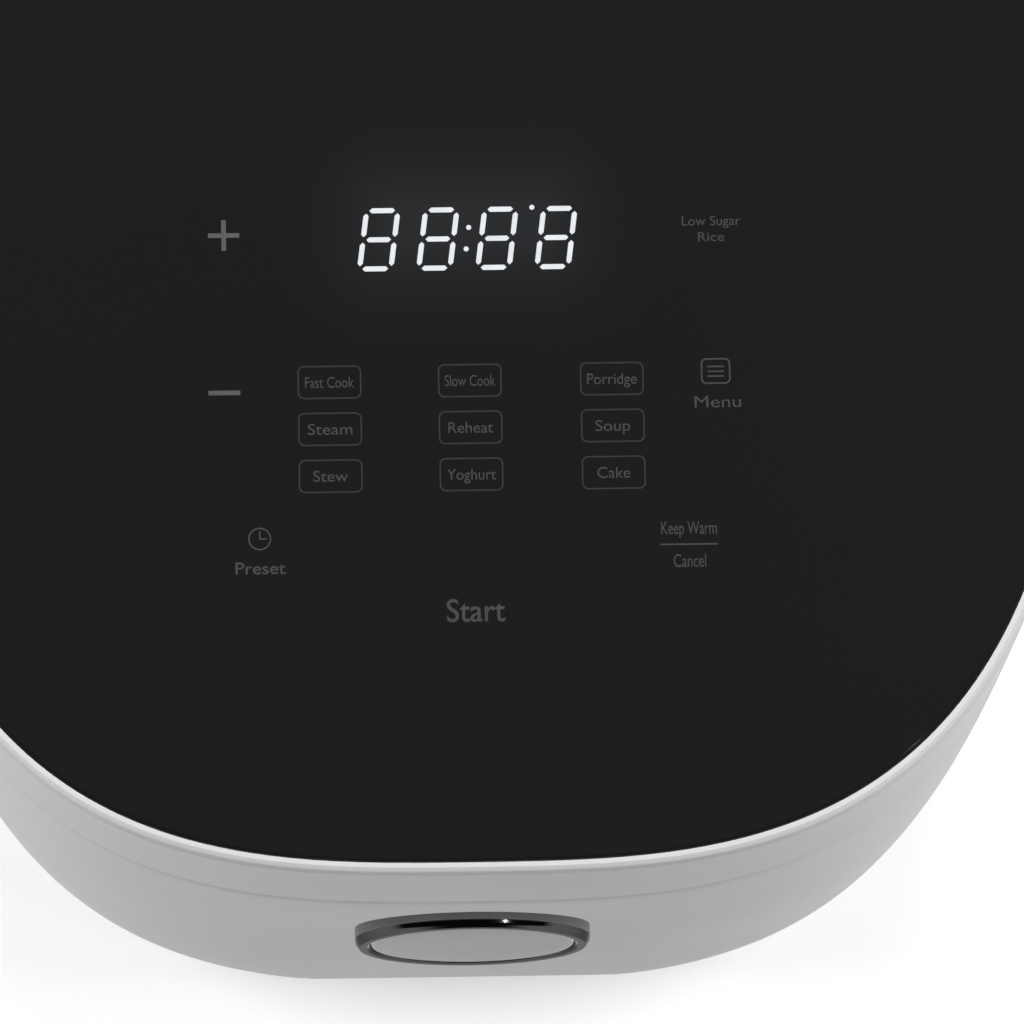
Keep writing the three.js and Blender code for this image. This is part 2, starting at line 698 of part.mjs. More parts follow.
function boardTray() {
  let tray = box(-76, 76, -132, -20, TRAY_BOTTOM, TRAY_BOTTOM + 2);
  tray = cut(tray, box(-60, 60, -112, -40, 200, 220));
  for (const [, x, y] of corners(70, -126, -26)) {
    const footing = y < -100 ? LID_BASE_TOP : PAN_ROOF + 2;
    tray = join(tray, upright(4, x, y, footing + GAP, TRAY_BOTTOM + 1, 6));
  }
  return tray;
}

const displayBoard = () => box(-74, 74, -130, -22, LID_BOARD_Z, LID_BOARD_Z + 1.6);
const displayModule = () =>
  box(-25.2, 25.2, DISPLAY_Y - 9.5, DISPLAY_Y + 9.5, LID_BOARD_Z + 1.9, PANEL_BOTTOM - GAP);

function touchFilm() {
  const film = box(-70, 70, -127, -25, PANEL_BOTTOM - 0.9, PANEL_BOTTOM - GAP);
  return cut(film, box(-27, 27, DISPLAY_Y - 11, DISPLAY_Y + 11, 220, 230));
}

function lidThermistor() {
  const profile = [[0, 190], [2.6, 190], [3, 191], [3, 206], [5, 206], [5, 208], [0, 208]];
  return turned(profile, 45, POT_Y + 40, 14);
}

function lidCatch() {
  const flange = box(-9, 9, -152, -138, LID_BASE_BOTTOM - GAP - 2, LID_BASE_BOTTOM - GAP);
  const tongue = box(-9, 9, -146.5, -143.5, 164, LID_BASE_BOTTOM - GAP - 1);
  const tooth = box(-9, 9, -149.2, -144, 164, 168);
  return join(flange, tongue, tooth);
}

// ---------- assembly ----------
place("body_shell", bodyShell(), materials.whiteShell);
place("base_plate", basePlate(), materials.greyBase);
for (const [spot, x, y] of FOOT_SPOTS) place(`foot_${spot}`, foot(x, y), materials.rubber);
for (const [spot, x, y] of BASE_SCREW_SPOTS) {
  place(`base_screw_${spot}`, screw(x, y, BASE_BOTTOM + 0.1, 30), materials.steel);
}
place("top_deck", topDeck(), materials.whiteInner);
place("inner_liner", innerLiner(), materials.aluminium);
place("heating_plate", heatingPlate(), materials.castAluminium);
place("thermal_fuse", thermalFuse(), materials.brass);
place("sensor_cap", sensorCap(), materials.aluminium);
place("sensor_guide", sensorGuide(), materials.steel);
place("sensor_spring", sensorSpring(), materials.steel);
place("inner_pot", innerPot(), materials.nonStick);
place("strainer_basket", strainerBasket(), materials.steel);
place("power_board", powerBoard(), materials.circuit);
place("transformer", transformer(), materials.winding);
place("heater_relay", relay(), materials.component);
place("filter_capacitor", filterCapacitor(), materials.winding);
place("inlet_socket", inletSocket(), materials.component);
for (const [wire, x, z] of PIN_SPOTS) place(`inlet_pin_${wire}`, inletPin(x, z), materials.brass);
place("inlet_lead_live", inletLead(-1), materials.leadRed);
place("inlet_lead_neutral", inletLead(1), materials.leadBlue);
place("dew_collector", dewCollector(), materials.clearPlastic);
place("hinge_pin", hingePin(), materials.steel);
place("hinge_spring", hingeSpring(), materials.steel);
place("open_button", openButton(), materials.buttonFace);
place("button_ring", buttonRing(), materials.darkChrome);
place("button_guide", buttonGuide(), materials.whiteInner);
place("button_spring", buttonSpring(), materials.steel);
place("latch_lever", latchLever(), materials.whiteInner);
place("latch_pin", latchPin(), materials.steel);

place("touch_panel", touchPanel(), materials.blackGlass, lid);
place("lid_frame", lidFrame(), materials.whiteShell, lid);
place("lid_base", lidBase(), materials.whiteInner, lid);
place("inner_lid", innerLid(), materials.aluminium, lid);
place("inner_lid_gasket", innerLidGasket(), materials.silicone, lid);
place("inner_lid_grommet", innerLidGrommet(), materials.silicone, lid);
place("vent_cap", ventCap(), materials.component, lid);
place("vent_cup", ventCup(), materials.component, lid);
place("vent_seal", ventSeal(), materials.silicone, lid);
place("board_tray", boardTray(), materials.whiteInner, lid);
place("display_board", displayBoard(), materials.circuit, lid);
place("display_module", displayModule(), materials.component, lid);
place("touch_film", touchFilm(), materials.clearPlastic, lid);
place("lid_thermistor", lidThermistor(), materials.steel, lid);
place("lid_catch", lidCatch(), materials.steel, lid);
for (const [spot, x, y] of LID_SCREW_SPOTS) {
  place(`lid_screw_${spot}`, screw(x, y, LID_BASE_BOTTOM + 0.1, 202), materials.steel, lid);
}

export default cooker;
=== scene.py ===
"""A countertop rice cooker: white body, black touch-panel lid, round front button, straining basket."""
import math

import bmesh
import bpy
from mathutils import Matrix, Vector


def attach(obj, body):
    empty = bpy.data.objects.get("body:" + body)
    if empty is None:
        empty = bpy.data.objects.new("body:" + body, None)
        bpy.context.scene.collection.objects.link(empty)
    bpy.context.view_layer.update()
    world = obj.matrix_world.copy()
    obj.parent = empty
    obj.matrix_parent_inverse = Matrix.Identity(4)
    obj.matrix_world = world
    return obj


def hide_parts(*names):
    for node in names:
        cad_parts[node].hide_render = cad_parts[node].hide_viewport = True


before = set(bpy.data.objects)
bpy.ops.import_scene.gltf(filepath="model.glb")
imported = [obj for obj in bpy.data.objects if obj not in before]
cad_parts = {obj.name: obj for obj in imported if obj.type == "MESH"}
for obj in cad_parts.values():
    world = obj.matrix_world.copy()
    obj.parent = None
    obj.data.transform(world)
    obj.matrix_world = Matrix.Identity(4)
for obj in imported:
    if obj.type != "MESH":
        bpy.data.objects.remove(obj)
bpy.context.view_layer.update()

MM = 0.001

# ---------- dimensions in millimetres ----------
HALF_WIDTH, FRONT_REACH, REAR_REACH, WIDEST_Y, PLAN_POWER = 132, 178, 166, 6, 3.05
LID_TOP, LID_SPLIT, LID_REAR, BODY_TOP, DECK_TOP = 228, 187, 158, 186.2, 182
POT_Y, HINGE_Y, HINGE_Z = -8, 164.5, 189
VENT_Y, VENT_RADIUS = 76, 24
BUTTON_Z, BUTTON_RADIUS, BUTTON_FRONT, RING_RADIUS, RING_BACK = 146, 22.5, -179.1, 26, -174.7
FACE_LEAN, FACE_BACK = 0.0325, -175.9
LATCH_PIVOT_Y, LATCH_PIVOT_Z = -157.5, 160
KEYPAD_Y = -78.8
DISPLAY_Y = KEYPAD_Y + 41.24
PLAN_POINTS = 240
CORNERS = {"front_left": (-1, -1), "front_right": (1, -1), "rear_left": (-1, 1), "rear_right": (1, 1)}
FEET = {name: (x * 84, 3 + y * 115) for name, (x, y) in CORNERS.items()}
BASE_SCREWS = {name: (x * 112, 6 + y * 68) for name, (x, y) in CORNERS.items()}
LID_SCREWS = {name: (x * 108, 1 + y * 83) for name, (x, y) in CORNERS.items()}


def place_camera():
    """A long lens, high above the front edge and turned a little to the left."""
    elevation, yaw, roll = (math.radians(a) for a in (79.0, 7.28, -6.36))
    back = Vector((0, -math.cos(elevation), math.sin(elevation)))
    right = Vector((1, 0, 0))
    rows = Matrix((right, back.cross(right), back))
    rows = Matrix.Rotation(roll, 3, "Z") @ rows @ Matrix.Rotation(yaw, 3, "Z")
    target = Vector((8.47, KEYPAD_Y - 18.49, LID_TOP)) * MM
    data = bpy.data.cameras.new("camera")
    data.sensor_width = 36
    data.lens = 263.7
    data.clip_start, data.clip_end = 0.05, 50
    camera = bpy.data.objects.new("camera", data)
    bpy.context.scene.collection.objects.link(camera)
    camera.matrix_world = Matrix.Translation(target + rows[2] * 1.5946) @ rows.transposed().to_4x4()
    bpy.context.scene.camera = camera


place_camera()


# ---------- materials ----------
class Nodes:
    """Short names for the node calls that the finishes below share."""

    def __init__(self, name):
        self.material = bpy.data.materials.new(name)
        self.material.use_nodes = True
        self.tree = self.material.node_tree
        self.shader = self.tree.nodes["Principled BSDF"]
        self.where = self.tree.nodes.new("ShaderNodeTexCoord").outputs["Object"]

    def link(self, a, b):
        self.tree.links.new(a, b)

    def noise(self, scale, detail=3.0, vector=None, roughness=0.5):
        node = self.tree.nodes.new("ShaderNodeTexNoise")
        node.inputs["Scale"].default_value = scale
        node.inputs["Detail"].default_value = detail
        node.inputs["Roughness"].default_value = roughness
        self.link(vector or self.where, node.inputs["Vector"])
        return node.outputs["Fac"]

    def stretch(self, scale, shift=(0, 0, 0)):
        node = self.tree.nodes.new("ShaderNodeMapping")
        node.inputs["Location"].default_value = shift
        node.inputs["Scale"].default_value = scale
        self.link(self.where, node.inputs["Vector"])
        return node.outputs["Vector"]

    def ramp(self, value, low, high, to_low, to_high):
        node = self.tree.nodes.new("ShaderNodeMapRange")
        for key, number in zip(("From Min", "From Max", "To Min", "To Max"), (low, high, to_low, to_high)):
            node.inputs[key].default_value = number
        self.link(value, node.inputs["Value"])
        return node.outputs["Result"]

    def mix(self, factor, a, b):
        node = self.tree.nodes.new("ShaderNodeMix")
        node.data_type = "RGBA"
        self.link(factor, node.inputs["Factor"])
        for socket, value in ((node.inputs["A"], a), (node.inputs["B"], b)):
            if isinstance(value, bpy.types.NodeSocket):
                self.link(value, socket)
            else:
                socket.default_value = (*value, 1)
        return node.outputs["Result"]

    def math(self, operation, a, b=0.0):
        node = self.tree.nodes.new("ShaderNodeMath")
        node.operation = operation
        for socket, value in zip(node.inputs, (a, b)):
            if isinstance(value, bpy.types.NodeSocket):
                self.link(value, socket)
            else:
                socket.default_value = value
        return node.outputs["Value"]

    def settle(self, sockets):
        for key, value in sockets.items():
            self.shader.inputs[key.replace("_", " ")].default_value = value

    def length(self, a, b):
        return self.math("SQRT", self.math("ADD", self.math("MULTIPLY", a, a), self.math("MULTIPLY", b, b)))

    def bump(self, height, strength, distance):
        node = self.tree.nodes.new("ShaderNodeBump")
        node.inputs["Strength"].default_value = strength
        node.inputs["Distance"].default_value = distance
        self.link(height, node.inputs["Height"])
        self.link(node.outputs["Normal"], self.shader.inputs["Normal"])

    def turned_lines(self, x, y, across, along="XY"):
        """Stretched coordinates whose noise makes fine rings round (x, y) in the plane that along names."""
        split = self.tree.nodes.new("ShaderNodeSeparateXYZ")
        self.link(self.where, split.inputs["Vector"])
        dx = self.math("SUBTRACT", split.outputs["X"], x)
        dy = self.math("SUBTRACT", split.outputs["Y" if along == "XY" else "Z"], y)
        radius = self.length(dx, dy)
        turn = self.math("ARCTAN2", dy, dx)
        join = self.tree.nodes.new("ShaderNodeCombineXYZ")
        self.link(self.math("MULTIPLY", radius, across), join.inputs["X"])
        self.link(self.math("MULTIPLY", turn, 1.5), join.inputs["Y"])
        rest = split.outputs["Z" if along == "XY" else "Y"]
        self.link(self.math("MULTIPLY", rest, across), join.inputs["Z"])
        return join.outputs["Vector"]


def moulded(name, color, roughness, grain=900, depth=0.00002, spread=0.07, tint=0.03, strength=0.25,
            **sockets):
    """Moulded plastic or rubber: cloudy gloss, a slight tint from place to place, and a fine grain."""
    n = Nodes(name)
    cloud = n.ramp(n.noise(14, 4), 0.3, 0.7, roughness - spread, roughness + spread)
    speck = n.ramp(n.noise(420, 2), 0.35, 0.75, 0.0, spread * 0.6)
    n.link(n.math("ADD", cloud, speck), n.shader.inputs["Roughness"])
    darker = [c * (1 - tint) for c in color]
    lighter = [min(1, c * (1 + tint)) for c in color]
    n.link(n.mix(n.ramp(n.noise(7, 5), 0.32, 0.68, 0, 1), darker, lighter), n.shader.inputs["Base Color"])
    n.bump(n.noise(grain, 3), strength, depth)
    n.settle(sockets)
    return n.material


def metal(name, color, roughness, pattern="cast", centre=(0, 0), spread=0.08, strength=0.3, along="XY",
          **sockets):
    """Metal with brushed lines, turned rings or a cast grain."""
    n = Nodes(name)
    n.shader.inputs["Metallic"].default_value = 1.0
    if pattern == "brushed":
        vector = n.stretch((60, 2600, 2600))
    elif pattern == "turned":
        vector = n.turned_lines(centre[0] * MM, centre[1] * MM, 2600, along)
    else:
        vector = n.stretch((700, 700, 700))
    grain = n.noise(1.0, 4, vector, 0.6)
    smear = n.ramp(n.noise(22, 4), 0.3, 0.7, -spread * 0.6, spread * 0.6)
    n.link(n.math("ADD", n.ramp(grain, 0.25, 0.75, roughness - spread, roughness + spread), smear),
           n.shader.inputs["Roughness"])
    darker = [c * 0.86 for c in color]
    n.link(n.mix(n.ramp(grain, 0.3, 0.7, 0, 1), darker, color), n.shader.inputs["Base Color"])
    n.bump(grain, strength, 0.00003 if pattern != "cast" else 0.00012)
    n.settle(sockets)
    return n.material


def black_panel():
    """Polished black panel: almost mirror smooth, with wiping marks, and a faint glow round the digits."""
    n = Nodes("black_panel")
    wipe = n.noise(1.0, 4, n.stretch((26, 9, 9)), 0.55)
    smudge = n.ramp(n.noise(38, 5), 0.45, 0.8, 0.0, 0.025)
    n.link(n.math("ADD", n.ramp(wipe, 0.3, 0.75, 0.060, 0.085), smudge), n.shader.inputs["Roughness"])
    n.link(n.mix(n.ramp(n.noise(5, 4), 0.3, 0.7, 0, 1), (0.0100, 0.0101, 0.0103), (0.0114, 0.0114, 0.0113)),
           n.shader.inputs["Base Color"])
    split = n.tree.nodes.new("ShaderNodeSeparateXYZ")
    n.link(n.stretch((1, 1, 1), (0, -(KEYPAD_Y + 44.3) * MM, 0)), split.inputs["Vector"])
    reach_x = n.math("MAXIMUM", n.math("SUBTRACT", n.math("ABSOLUTE", split.outputs["X"]), 0.016), 0.0)
    reach_y = n.math("MAXIMUM", n.math("SUBTRACT", n.math("ABSOLUTE", split.outputs["Y"]), 0.004), 0.0)
    glow = n.math("POWER", n.ramp(n.length(reach_x, reach_y), 0.0, 0.030, 1.0, 0.0), 2.6)
    n.link(n.mix(glow, (0, 0, 0), (0.0117, 0.0123, 0.0138)), n.shader.inputs["Emission Color"])
    n.shader.inputs["Emission Strength"].default_value = 1.0
    n.bump(n.noise(30, 2), 0.015, 0.00002)
    return n.material


def lit_segment():
    """The clock's lit segments: white light that varies slightly from place to place."""
    n = Nodes("display_light")
    n.link(n.mix(n.ramp(n.noise(300, 2), 0.3, 0.7, 0, 1), (0.66, 0.69, 0.73), (0.74, 0.77, 0.81)),
           n.shader.inputs["Emission Color"])
    n.shader.inputs["Emission Strength"].default_value = 1.0
    n.shader.inputs["Base Color"].default_value = (0.1, 0.1, 0.1, 1)
    n.link(n.ramp(n.noise(90, 2), 0.3, 0.7, 0.3, 0.4), n.shader.inputs["Roughness"])
    return n.material


def printed(name, color):
    """Thin screen-printed ink with slightly uneven cover."""
    n = Nodes(name)
    cover = n.ramp(n.noise(700, 4, None, 0.7), 0.3, 0.7, 0, 1)
    n.link(n.mix(cover, [c * 0.82 for c in color], [c * 1.12 for c in color]), n.shader.inputs["Base Color"])
    n.link(n.ramp(n.noise(160, 3), 0.3, 0.7, 0.32, 0.5), n.shader.inputs["Roughness"])
    n.bump(n.noise(2200, 2), 0.2, 0.00001)
    return n.material


def circuit_board():
    """Green solder mask with copper tracks showing through it and rows of soldered pads."""
    n = Nodes("circuit_board")
    tracks = n.tree.nodes.new("ShaderNodeTexBrick")
    tracks.inputs["Scale"].default_value = 55
    tracks.inputs["Mortar Size"].default_value = 0.03
    tracks.inputs["Color1"].default_value = (0.012, 0.11, 0.045, 1)
    tracks.inputs["Color2"].default_value = (0.014, 0.125, 0.05, 1)
    tracks.inputs["Mortar"].default_value = (0.03, 0.2, 0.07, 1)
    n.link(n.where, tracks.inputs["Vector"])
    pads = n.tree.nodes.new("ShaderNodeTexVoronoi")
    pads.inputs["Scale"].default_value = 190
    pads.inputs["Randomness"].default_value = 0.35
    n.link(n.where, pads.inputs["Vector"])
    dot = n.ramp(pads.outputs["Distance"], 0.12, 0.16, 1, 0)
    n.link(n.mix(dot, tracks.outputs["Color"], (0.55, 0.55, 0.52)), n.shader.inputs["Base Color"])
    n.link(n.ramp(n.noise(80, 3), 0.3, 0.7, 0.28, 0.45), n.shader.inputs["Roughness"])
    n.bump(tracks.outputs["Fac"], 0.3, 0.00006)
    return n.material


FINISHES = {
    "white_gloss": moulded("white_gloss", (0.60, 0.605, 0.595), 0.32, 260, 0.000004, 0.04, 0.012, 0.1,
                           Specular_IOR_Level=0.25),
    "white_satin": moulded("white_satin", (0.60, 0.60, 0.59), 0.42, 700, 0.00001, 0.06, 0.02, 0.2),
    "grey_base": moulded("grey_base", (0.36, 0.36, 0.355), 0.55, 1300, 0.00008, 0.06, 0.05, 0.5),
    "foot_rubber": moulded("foot_rubber", (0.035, 0.035, 0.036), 0.75, 1600, 0.00006, 0.08, 0.15, 0.4),
    "silicone": moulded("silicone", (0.62, 0.63, 0.635), 0.5, 1100, 0.00003, 0.06, 0.03, 0.25,
                        Subsurface_Weight=0.12, Subsurface_Scale=0.004),
    "component_black": moulded("component_black", (0.022, 0.022, 0.024), 0.42, 1500, 0.00005, 0.07, 0.12,
                               0.4),
    "winding_yellow": moulded("winding_yellow", (0.55, 0.36, 0.05), 0.35, 700, 0.00008, 0.08, 0.2, 0.5),
    "clear_plastic": moulded("clear_plastic", (0.60, 0.64, 0.66), 0.22, 700, 0.00002, 0.05, 0.04, 0.2,
                             Transmission_Weight=0.35, IOR=1.49),
    "lead_red": moulded("lead_red", (0.42, 0.04, 0.03), 0.45, 900, 0.00005, 0.06, 0.1, 0.3),
    "lead_blue": moulded("lead_blue", (0.03, 0.08, 0.36), 0.45, 900, 0.00005, 0.06, 0.1, 0.3),
    "non_stick": moulded("non_stick", (0.040, 0.041, 0.043), 0.36, 2400, 0.00007, 0.07, 0.18, 0.5),
    "button_face": moulded("button_face", (0.49, 0.495, 0.475), 0.36, 300, 0.000004, 0.05, 0.02, 0.1,
                           Specular_IOR_Level=0.3),
    "steel": metal("steel", (0.58, 0.59, 0.60), 0.30, "brushed"),
    "steel_turned": metal("steel_turned", (0.62, 0.63, 0.64), 0.24, "turned", (0, POT_Y)),
    "aluminium": metal("aluminium", (0.74, 0.75, 0.76), 0.33, "turned", (0, POT_Y)),
    "cast_aluminium": metal("cast_aluminium", (0.50, 0.51, 0.52), 0.52, "cast", spread=0.1, strength=0.6),
    "brass": metal("brass", (0.62, 0.46, 0.20), 0.28, "brushed"),
    "dark_chrome": metal("dark_chrome", (0.115, 0.115, 0.118), 0.10, "turned", (0, BUTTON_Z), 0.03, 0.02,
                         "XZ", Specular_Tint=(0.42, 0.42, 0.43, 1)),
    # Painted reflection: a flat grey that stands in for the white wall mirrored in the dark chrome ring's
    # outer side.
    "bezel_side_painted_reflection": moulded("bezel_side_painted_reflection", (0.15, 0.15, 0.146), 0.38, 300, 0.000004, 0.05, 0.03, 0.1,
                          Specular_IOR_Level=0.3),
    "black_panel": black_panel(),
    "display_light": lit_segment(),
    "circuit_board": circuit_board(),
    "legend": printed("legend", (0.058, 0.058, 0.058)),
    "legend_dim": printed("legend_dim", (0.039, 0.039, 0.039)),
    "legend_bright": printed("legend_bright", (0.095, 0.095, 0.095)),
}


# ---------- shapes ----------
def soft_min(a, b, blend):
    return min(a, b) - blend * math.log1p(math.exp(-abs(a - b) / blend))


def plan_point(angle, offset, rear_cut=None):
    """A point of the cooker's plan, offset outwards from the touch panel's edge."""
    c, s, power = math.cos(angle), math.sin(angle), 2 / PLAN_POWER
    reach = (FRONT_REACH if s < 0 else REAR_REACH) + offset
    x = (HALF_WIDTH + offset) * math.copysign(abs(c) ** power, c)
    y = WIDEST_Y + reach * math.copysign(abs(s) ** power, s)
    if rear_cut is not None:
        y = soft_min(y, rear_cut + offset, 2.6)
    return x, y


def flat_front(ring, amount):
    """Trims the middle of a ring's front to a straight line."""
    if amount <= 0:
        return ring
    limit = min(y for _, y, _ in ring) + amount
    return [(x, -soft_min(-y, -limit, 0.12), z) for x, y, z in ring]


def plan_angles(rear_cut):
    """Angles that spread the plan's points evenly by length and by how much the edge turns."""
    fine = [2 * math.pi * i / 8000 for i in range(8001)]
    points = [plan_point(a, 0, rear_cut) for a in fine]
    total, sums, last = 0.0, [0.0], None
    for (x0, y0), (x1, y1) in zip(points, points[1:]):
        heading = math.atan2(y1 - y0, x1 - x0)
        turn = 0 if last is None else abs((heading - last + math.pi) % (2 * math.pi) - math.pi)
        total += math.hypot(x1 - x0, y1 - y0) / 11 + math.degrees(turn) / 2.6
        sums.append(total)
        last = heading
    angles, k = [], 0
    for i in range(PLAN_POINTS):
        wanted = total * i / PLAN_POINTS
        while sums[k + 1] < wanted:
            k += 1
        angles.append(fine[k] + (fine[k + 1] - fine[k]) * (wanted - sums[k]) / (sums[k + 1] - sums[k]))
    return angles


ANGLES = {None: plan_angles(None), LID_REAR: plan_angles(LID_REAR)}


def plan_ring(offset, z, rear_cut=None):
    angles = ANGLES[None if rear_cut is None else LID_REAR]
    return [(*plan_point(a, offset, rear_cut), z) for a in angles]


def skin(rings, loop=False, caps=True):
    """Joins rings of points into a surface. A loop joins the last ring to the first; caps close the ends."""
    count, total = len(rings[0]), len(rings)
    vertices = [p for ring in rings for p in ring]
    faces = []
    for i in range(total if loop else total - 1):
        a, b = i * count, (i + 1) % total * count
        for j in range(count):
            k = (j + 1) % count
            faces.append((a + j, a + k, b + k, b + j))
    if caps and not loop:
        faces.append(tuple(range(count))[::-1])
        faces.append(tuple(range((total - 1) * count, total * count)))
    return vertices, faces


def together(*shapes):
    vertices, faces = [], []
    for more, these in shapes:
        faces += [tuple(i + len(vertices) for i in face) for face in these]
        vertices += more
    return vertices, faces


def rounded(points, closed=True, steps=5):
    """Fillets the corners of a profile whose points are (a, b) or (a, b, radius)."""
    out, count = [], len(points)
    for i, point in enumerate(points):
        radius = point[2] if len(point) > 2 else 0
        if not radius or (not closed and i in (0, count - 1)):
            out.append(point[:2])
            continue
        here = Vector(point[:2])
        before = Vector(points[i - 1][:2]) - here
        after = Vector(points[(i + 1) % count][:2]) - here
        half = before.angle(after) / 2
        if half > math.pi / 2 - 0.01:
            out.append(point[:2])
            continue
        reach = min(radius / math.tan(half), before.length * 0.49, after.length * 0.49)
        start, end = here + before.normalized() * reach, here + after.normalized() * reach
        middle = here + (before.normalized() + after.normalized()).normalized() * (reach / math.cos(half))
        a0 = math.atan2(start.y - middle.y, start.x - middle.x)
        sweep = (math.atan2(end.y - middle.y, end.x - middle.x) - a0 + math.pi) % (2 * math.pi) - math.pi
        size = (start - middle).length
        for k in range(steps + 1):
            a = a0 + sweep * k / steps
            out.append((middle.x + size * math.cos(a), middle.y + size * math.sin(a)))
    return out


def spline(points, steps=6):
    """A smooth curve through the points of an open profile."""
    out = []
    padded = [points[0], *points, points[-1]]
    for i in range(1, len(padded) - 2):
        p0, p1, p2, p3 = (Vector(p) for p in padded[i - 1:i + 3])
        for k in range(steps):
            t = k / steps
            p = 0.5 * (2 * p1 + (p2 - p0) * t + (2 * p0 - 5 * p1 + 4 * p2 - p3) * t * t
                       + (3 * p1 - p0 - 3 * p2 + p3) * t ** 3)
            out.append((p.x, p.y))
    return [*out, points[-1]]


def loft(profile, rear_cut=None, trim=lambda z: 0):
    """A closed band round the plan; profile points are (offset, z)."""
    return skin([flat_front(plan_ring(offset, z, rear_cut), trim(z)) for offset, z in profile], loop=True)


def lathe(profile, x, y, loop=False, steps=112, axis="Z"):
    """A solid of revolution. Profile points are (radius, place along the axis)."""
    rings = []
    for radius, along in profile:
        ring = []
        for i in range(steps):
            a = 2 * math.pi * i / steps
            u, v = radius * math.cos(a), radius * math.sin(a)
            if axis == "Z":
                ring.append((x + u, y + v, along))
            elif axis == "Y":
                ring.append((x + u, along, y + v))
            else:
                ring.append((along, x + u, y + v))
        rings.append(ring)
    return skin(rings, loop=loop, caps=not loop)


def turned(points, x, y, closed=False, fillet=5, steps=112, axis="Z"):
    """A filleted profile turned round an axis."""
    return lathe(rounded(points, closed, fillet), x, y, closed, steps, axis)


def bar(outline, low, high, axis="Z", bevel=0.0):
    """An outline pulled along an axis, with its end edges bevelled by shrinking it towards its middle."""
    mx = sum(p[0] for p in outline) / len(outline)
    my = sum(p[1] for p in outline) / len(outline)
    reach = max(max(abs(p[0] - mx), abs(p[1] - my)) for p in outline)
    levels = [(low, 0), (high, 0)]
    if bevel:
        levels = [(low, bevel), (low + bevel * 0.3, bevel * 0.3), (low + bevel, 0),
                  (high - bevel, 0), (high - bevel * 0.3, bevel * 0.3), (high, bevel)]
    rings = []
    for level, inset in levels:
        ring = []
        for u, v in outline:
            du, dv = u - mx, v - my
            u = mx + math.copysign(max(0, abs(du) - inset * abs(du) / reach), du)
            v = my + math.copysign(max(0, abs(dv) - inset * abs(dv) / reach), dv)
            ring.append({"Z": (u, v, level), "Y": (u, level, v), "X": (level, u, v)}[axis])
        rings.append(ring)
    return skin(rings)


def rectangle(x0, x1, y0, y1, radius=0.0, steps=6):
    return rounded([(x0, y0, radius), (x1, y0, radius), (x1, y1, radius), (x0, y1, radius)], True, steps)


def circle(x, y, radius, steps=48):
    return [(x + radius * math.cos(2 * math.pi * i / steps), y + radius * math.sin(2 * math.pi * i / steps))
            for i in range(steps)]


def brick(x0, x1, y0, y1, z0, z1, radius=0.0, bevel=0.0):
    return bar(rectangle(x0, x1, y0, y1, radius), z0, z1, "Z", bevel)


def mesh_of(name, shape):
    vertices, faces = shape
    mesh = bpy.data.meshes.new(name)
    mesh.from_pydata([(x * MM, y * MM, z * MM) for x, y, z in vertices], [], faces)
    work = bmesh.new()
    work.from_mesh(mesh)
    bmesh.ops.remove_doubles(work, verts=work.verts, dist=2e-6)
    bmesh.ops.recalc_face_normals(work, faces=work.faces)
    work.to_mesh(mesh)
    work.free()
    return mesh


def object_of(name, shape):
    thing = bpy.data.objects.new(name, mesh_of(name, shape))
    bpy.context.scene.collection.objects.link(thing)
    return thing


def settled(thing):
    """The mesh of an object with its modifiers applied."""
    bpy.context.view_layer.update()
    return bpy.data.meshes.new_from_object(thing.evaluated_get(bpy.context.evaluated_depsgraph_get()))


def carve(thing, shape, operation="DIFFERENCE"):
    """Cuts a shape out of an object, or joins it on, and keeps the result as its mesh."""
    tool = object_of("tool", shape)
    step = thing.modifiers.new("step", "BOOLEAN")
    step.operation, step.solver, step.object = operation, "EXACT", tool
    done = settled(thing)
    thing.modifiers.remove(step)
    thing.data = done
    bpy.data.objects.remove(tool)


def piece(thing, body, slot, nodes=(), finish=None, sharp=35):
    """Gives an object its finish and shading, and makes it ride on its body."""
    thing.data.materials.clear()
    thing.data.materials.append(FINISHES[finish or slot])
    thing.data.shade_smooth()
    thing.data.set_sharp_from_angle(angle=math.radians(sharp))
    even = thing.modifiers.new("even_shading", "WEIGHTED_NORMAL")
    even.keep_sharp = True
    even.weight = 100
    if nodes:
        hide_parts(*nodes)
    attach(thing, body)
    return thing


def add(name, shape, body, slot, nodes=(), finish=None, sharp=35):
    return piece(object_of(name, shape), body, slot, nodes, finish, sharp)


# ---------- outer casing ----------
def make_body_shell():
    outside = spline([(-4, 14.6), (-3.2, 16.2), (-1.9, 19.5), (-0.4, 26), (0.9, 38), (2.0, 60), (2.8, 88),
                      (3.15, 118), (3.2, 150), (3.05, 182)], 4)
    top = [(2.9, 184.6), (2.55, 185.7), (1.9, BODY_TOP), (0.9, BODY_TOP), (0.5, 185.8)]
    inside = [(0.7, 118), (-0.4, 60), (-2.6, 26), (-5.4, 17), (-6.2, 14.2), (-4.3, 14.1)]
    shape = loft([*outside, *top, *inside], trim=lambda z: min(1.2, (z - 14) / 5, (110 - z) / 50))
    shell = object_of("body_shell_skin", shape)
    carve(shell, bar(circle(0, BUTTON_Z, 24.8, 96), -190, -160, "Y"))
    carve(shell, bar(rectangle(-14.4, 14.4, 48.6, 71.4, 2), 150, 190, "Y"))
    carve(shell, bar(rectangle(-33, 33, 145, 179, 3.4), 150, 190, "Y"))
    piece(shell, "body", "white_gloss", ["body_shell"], sharp=30)


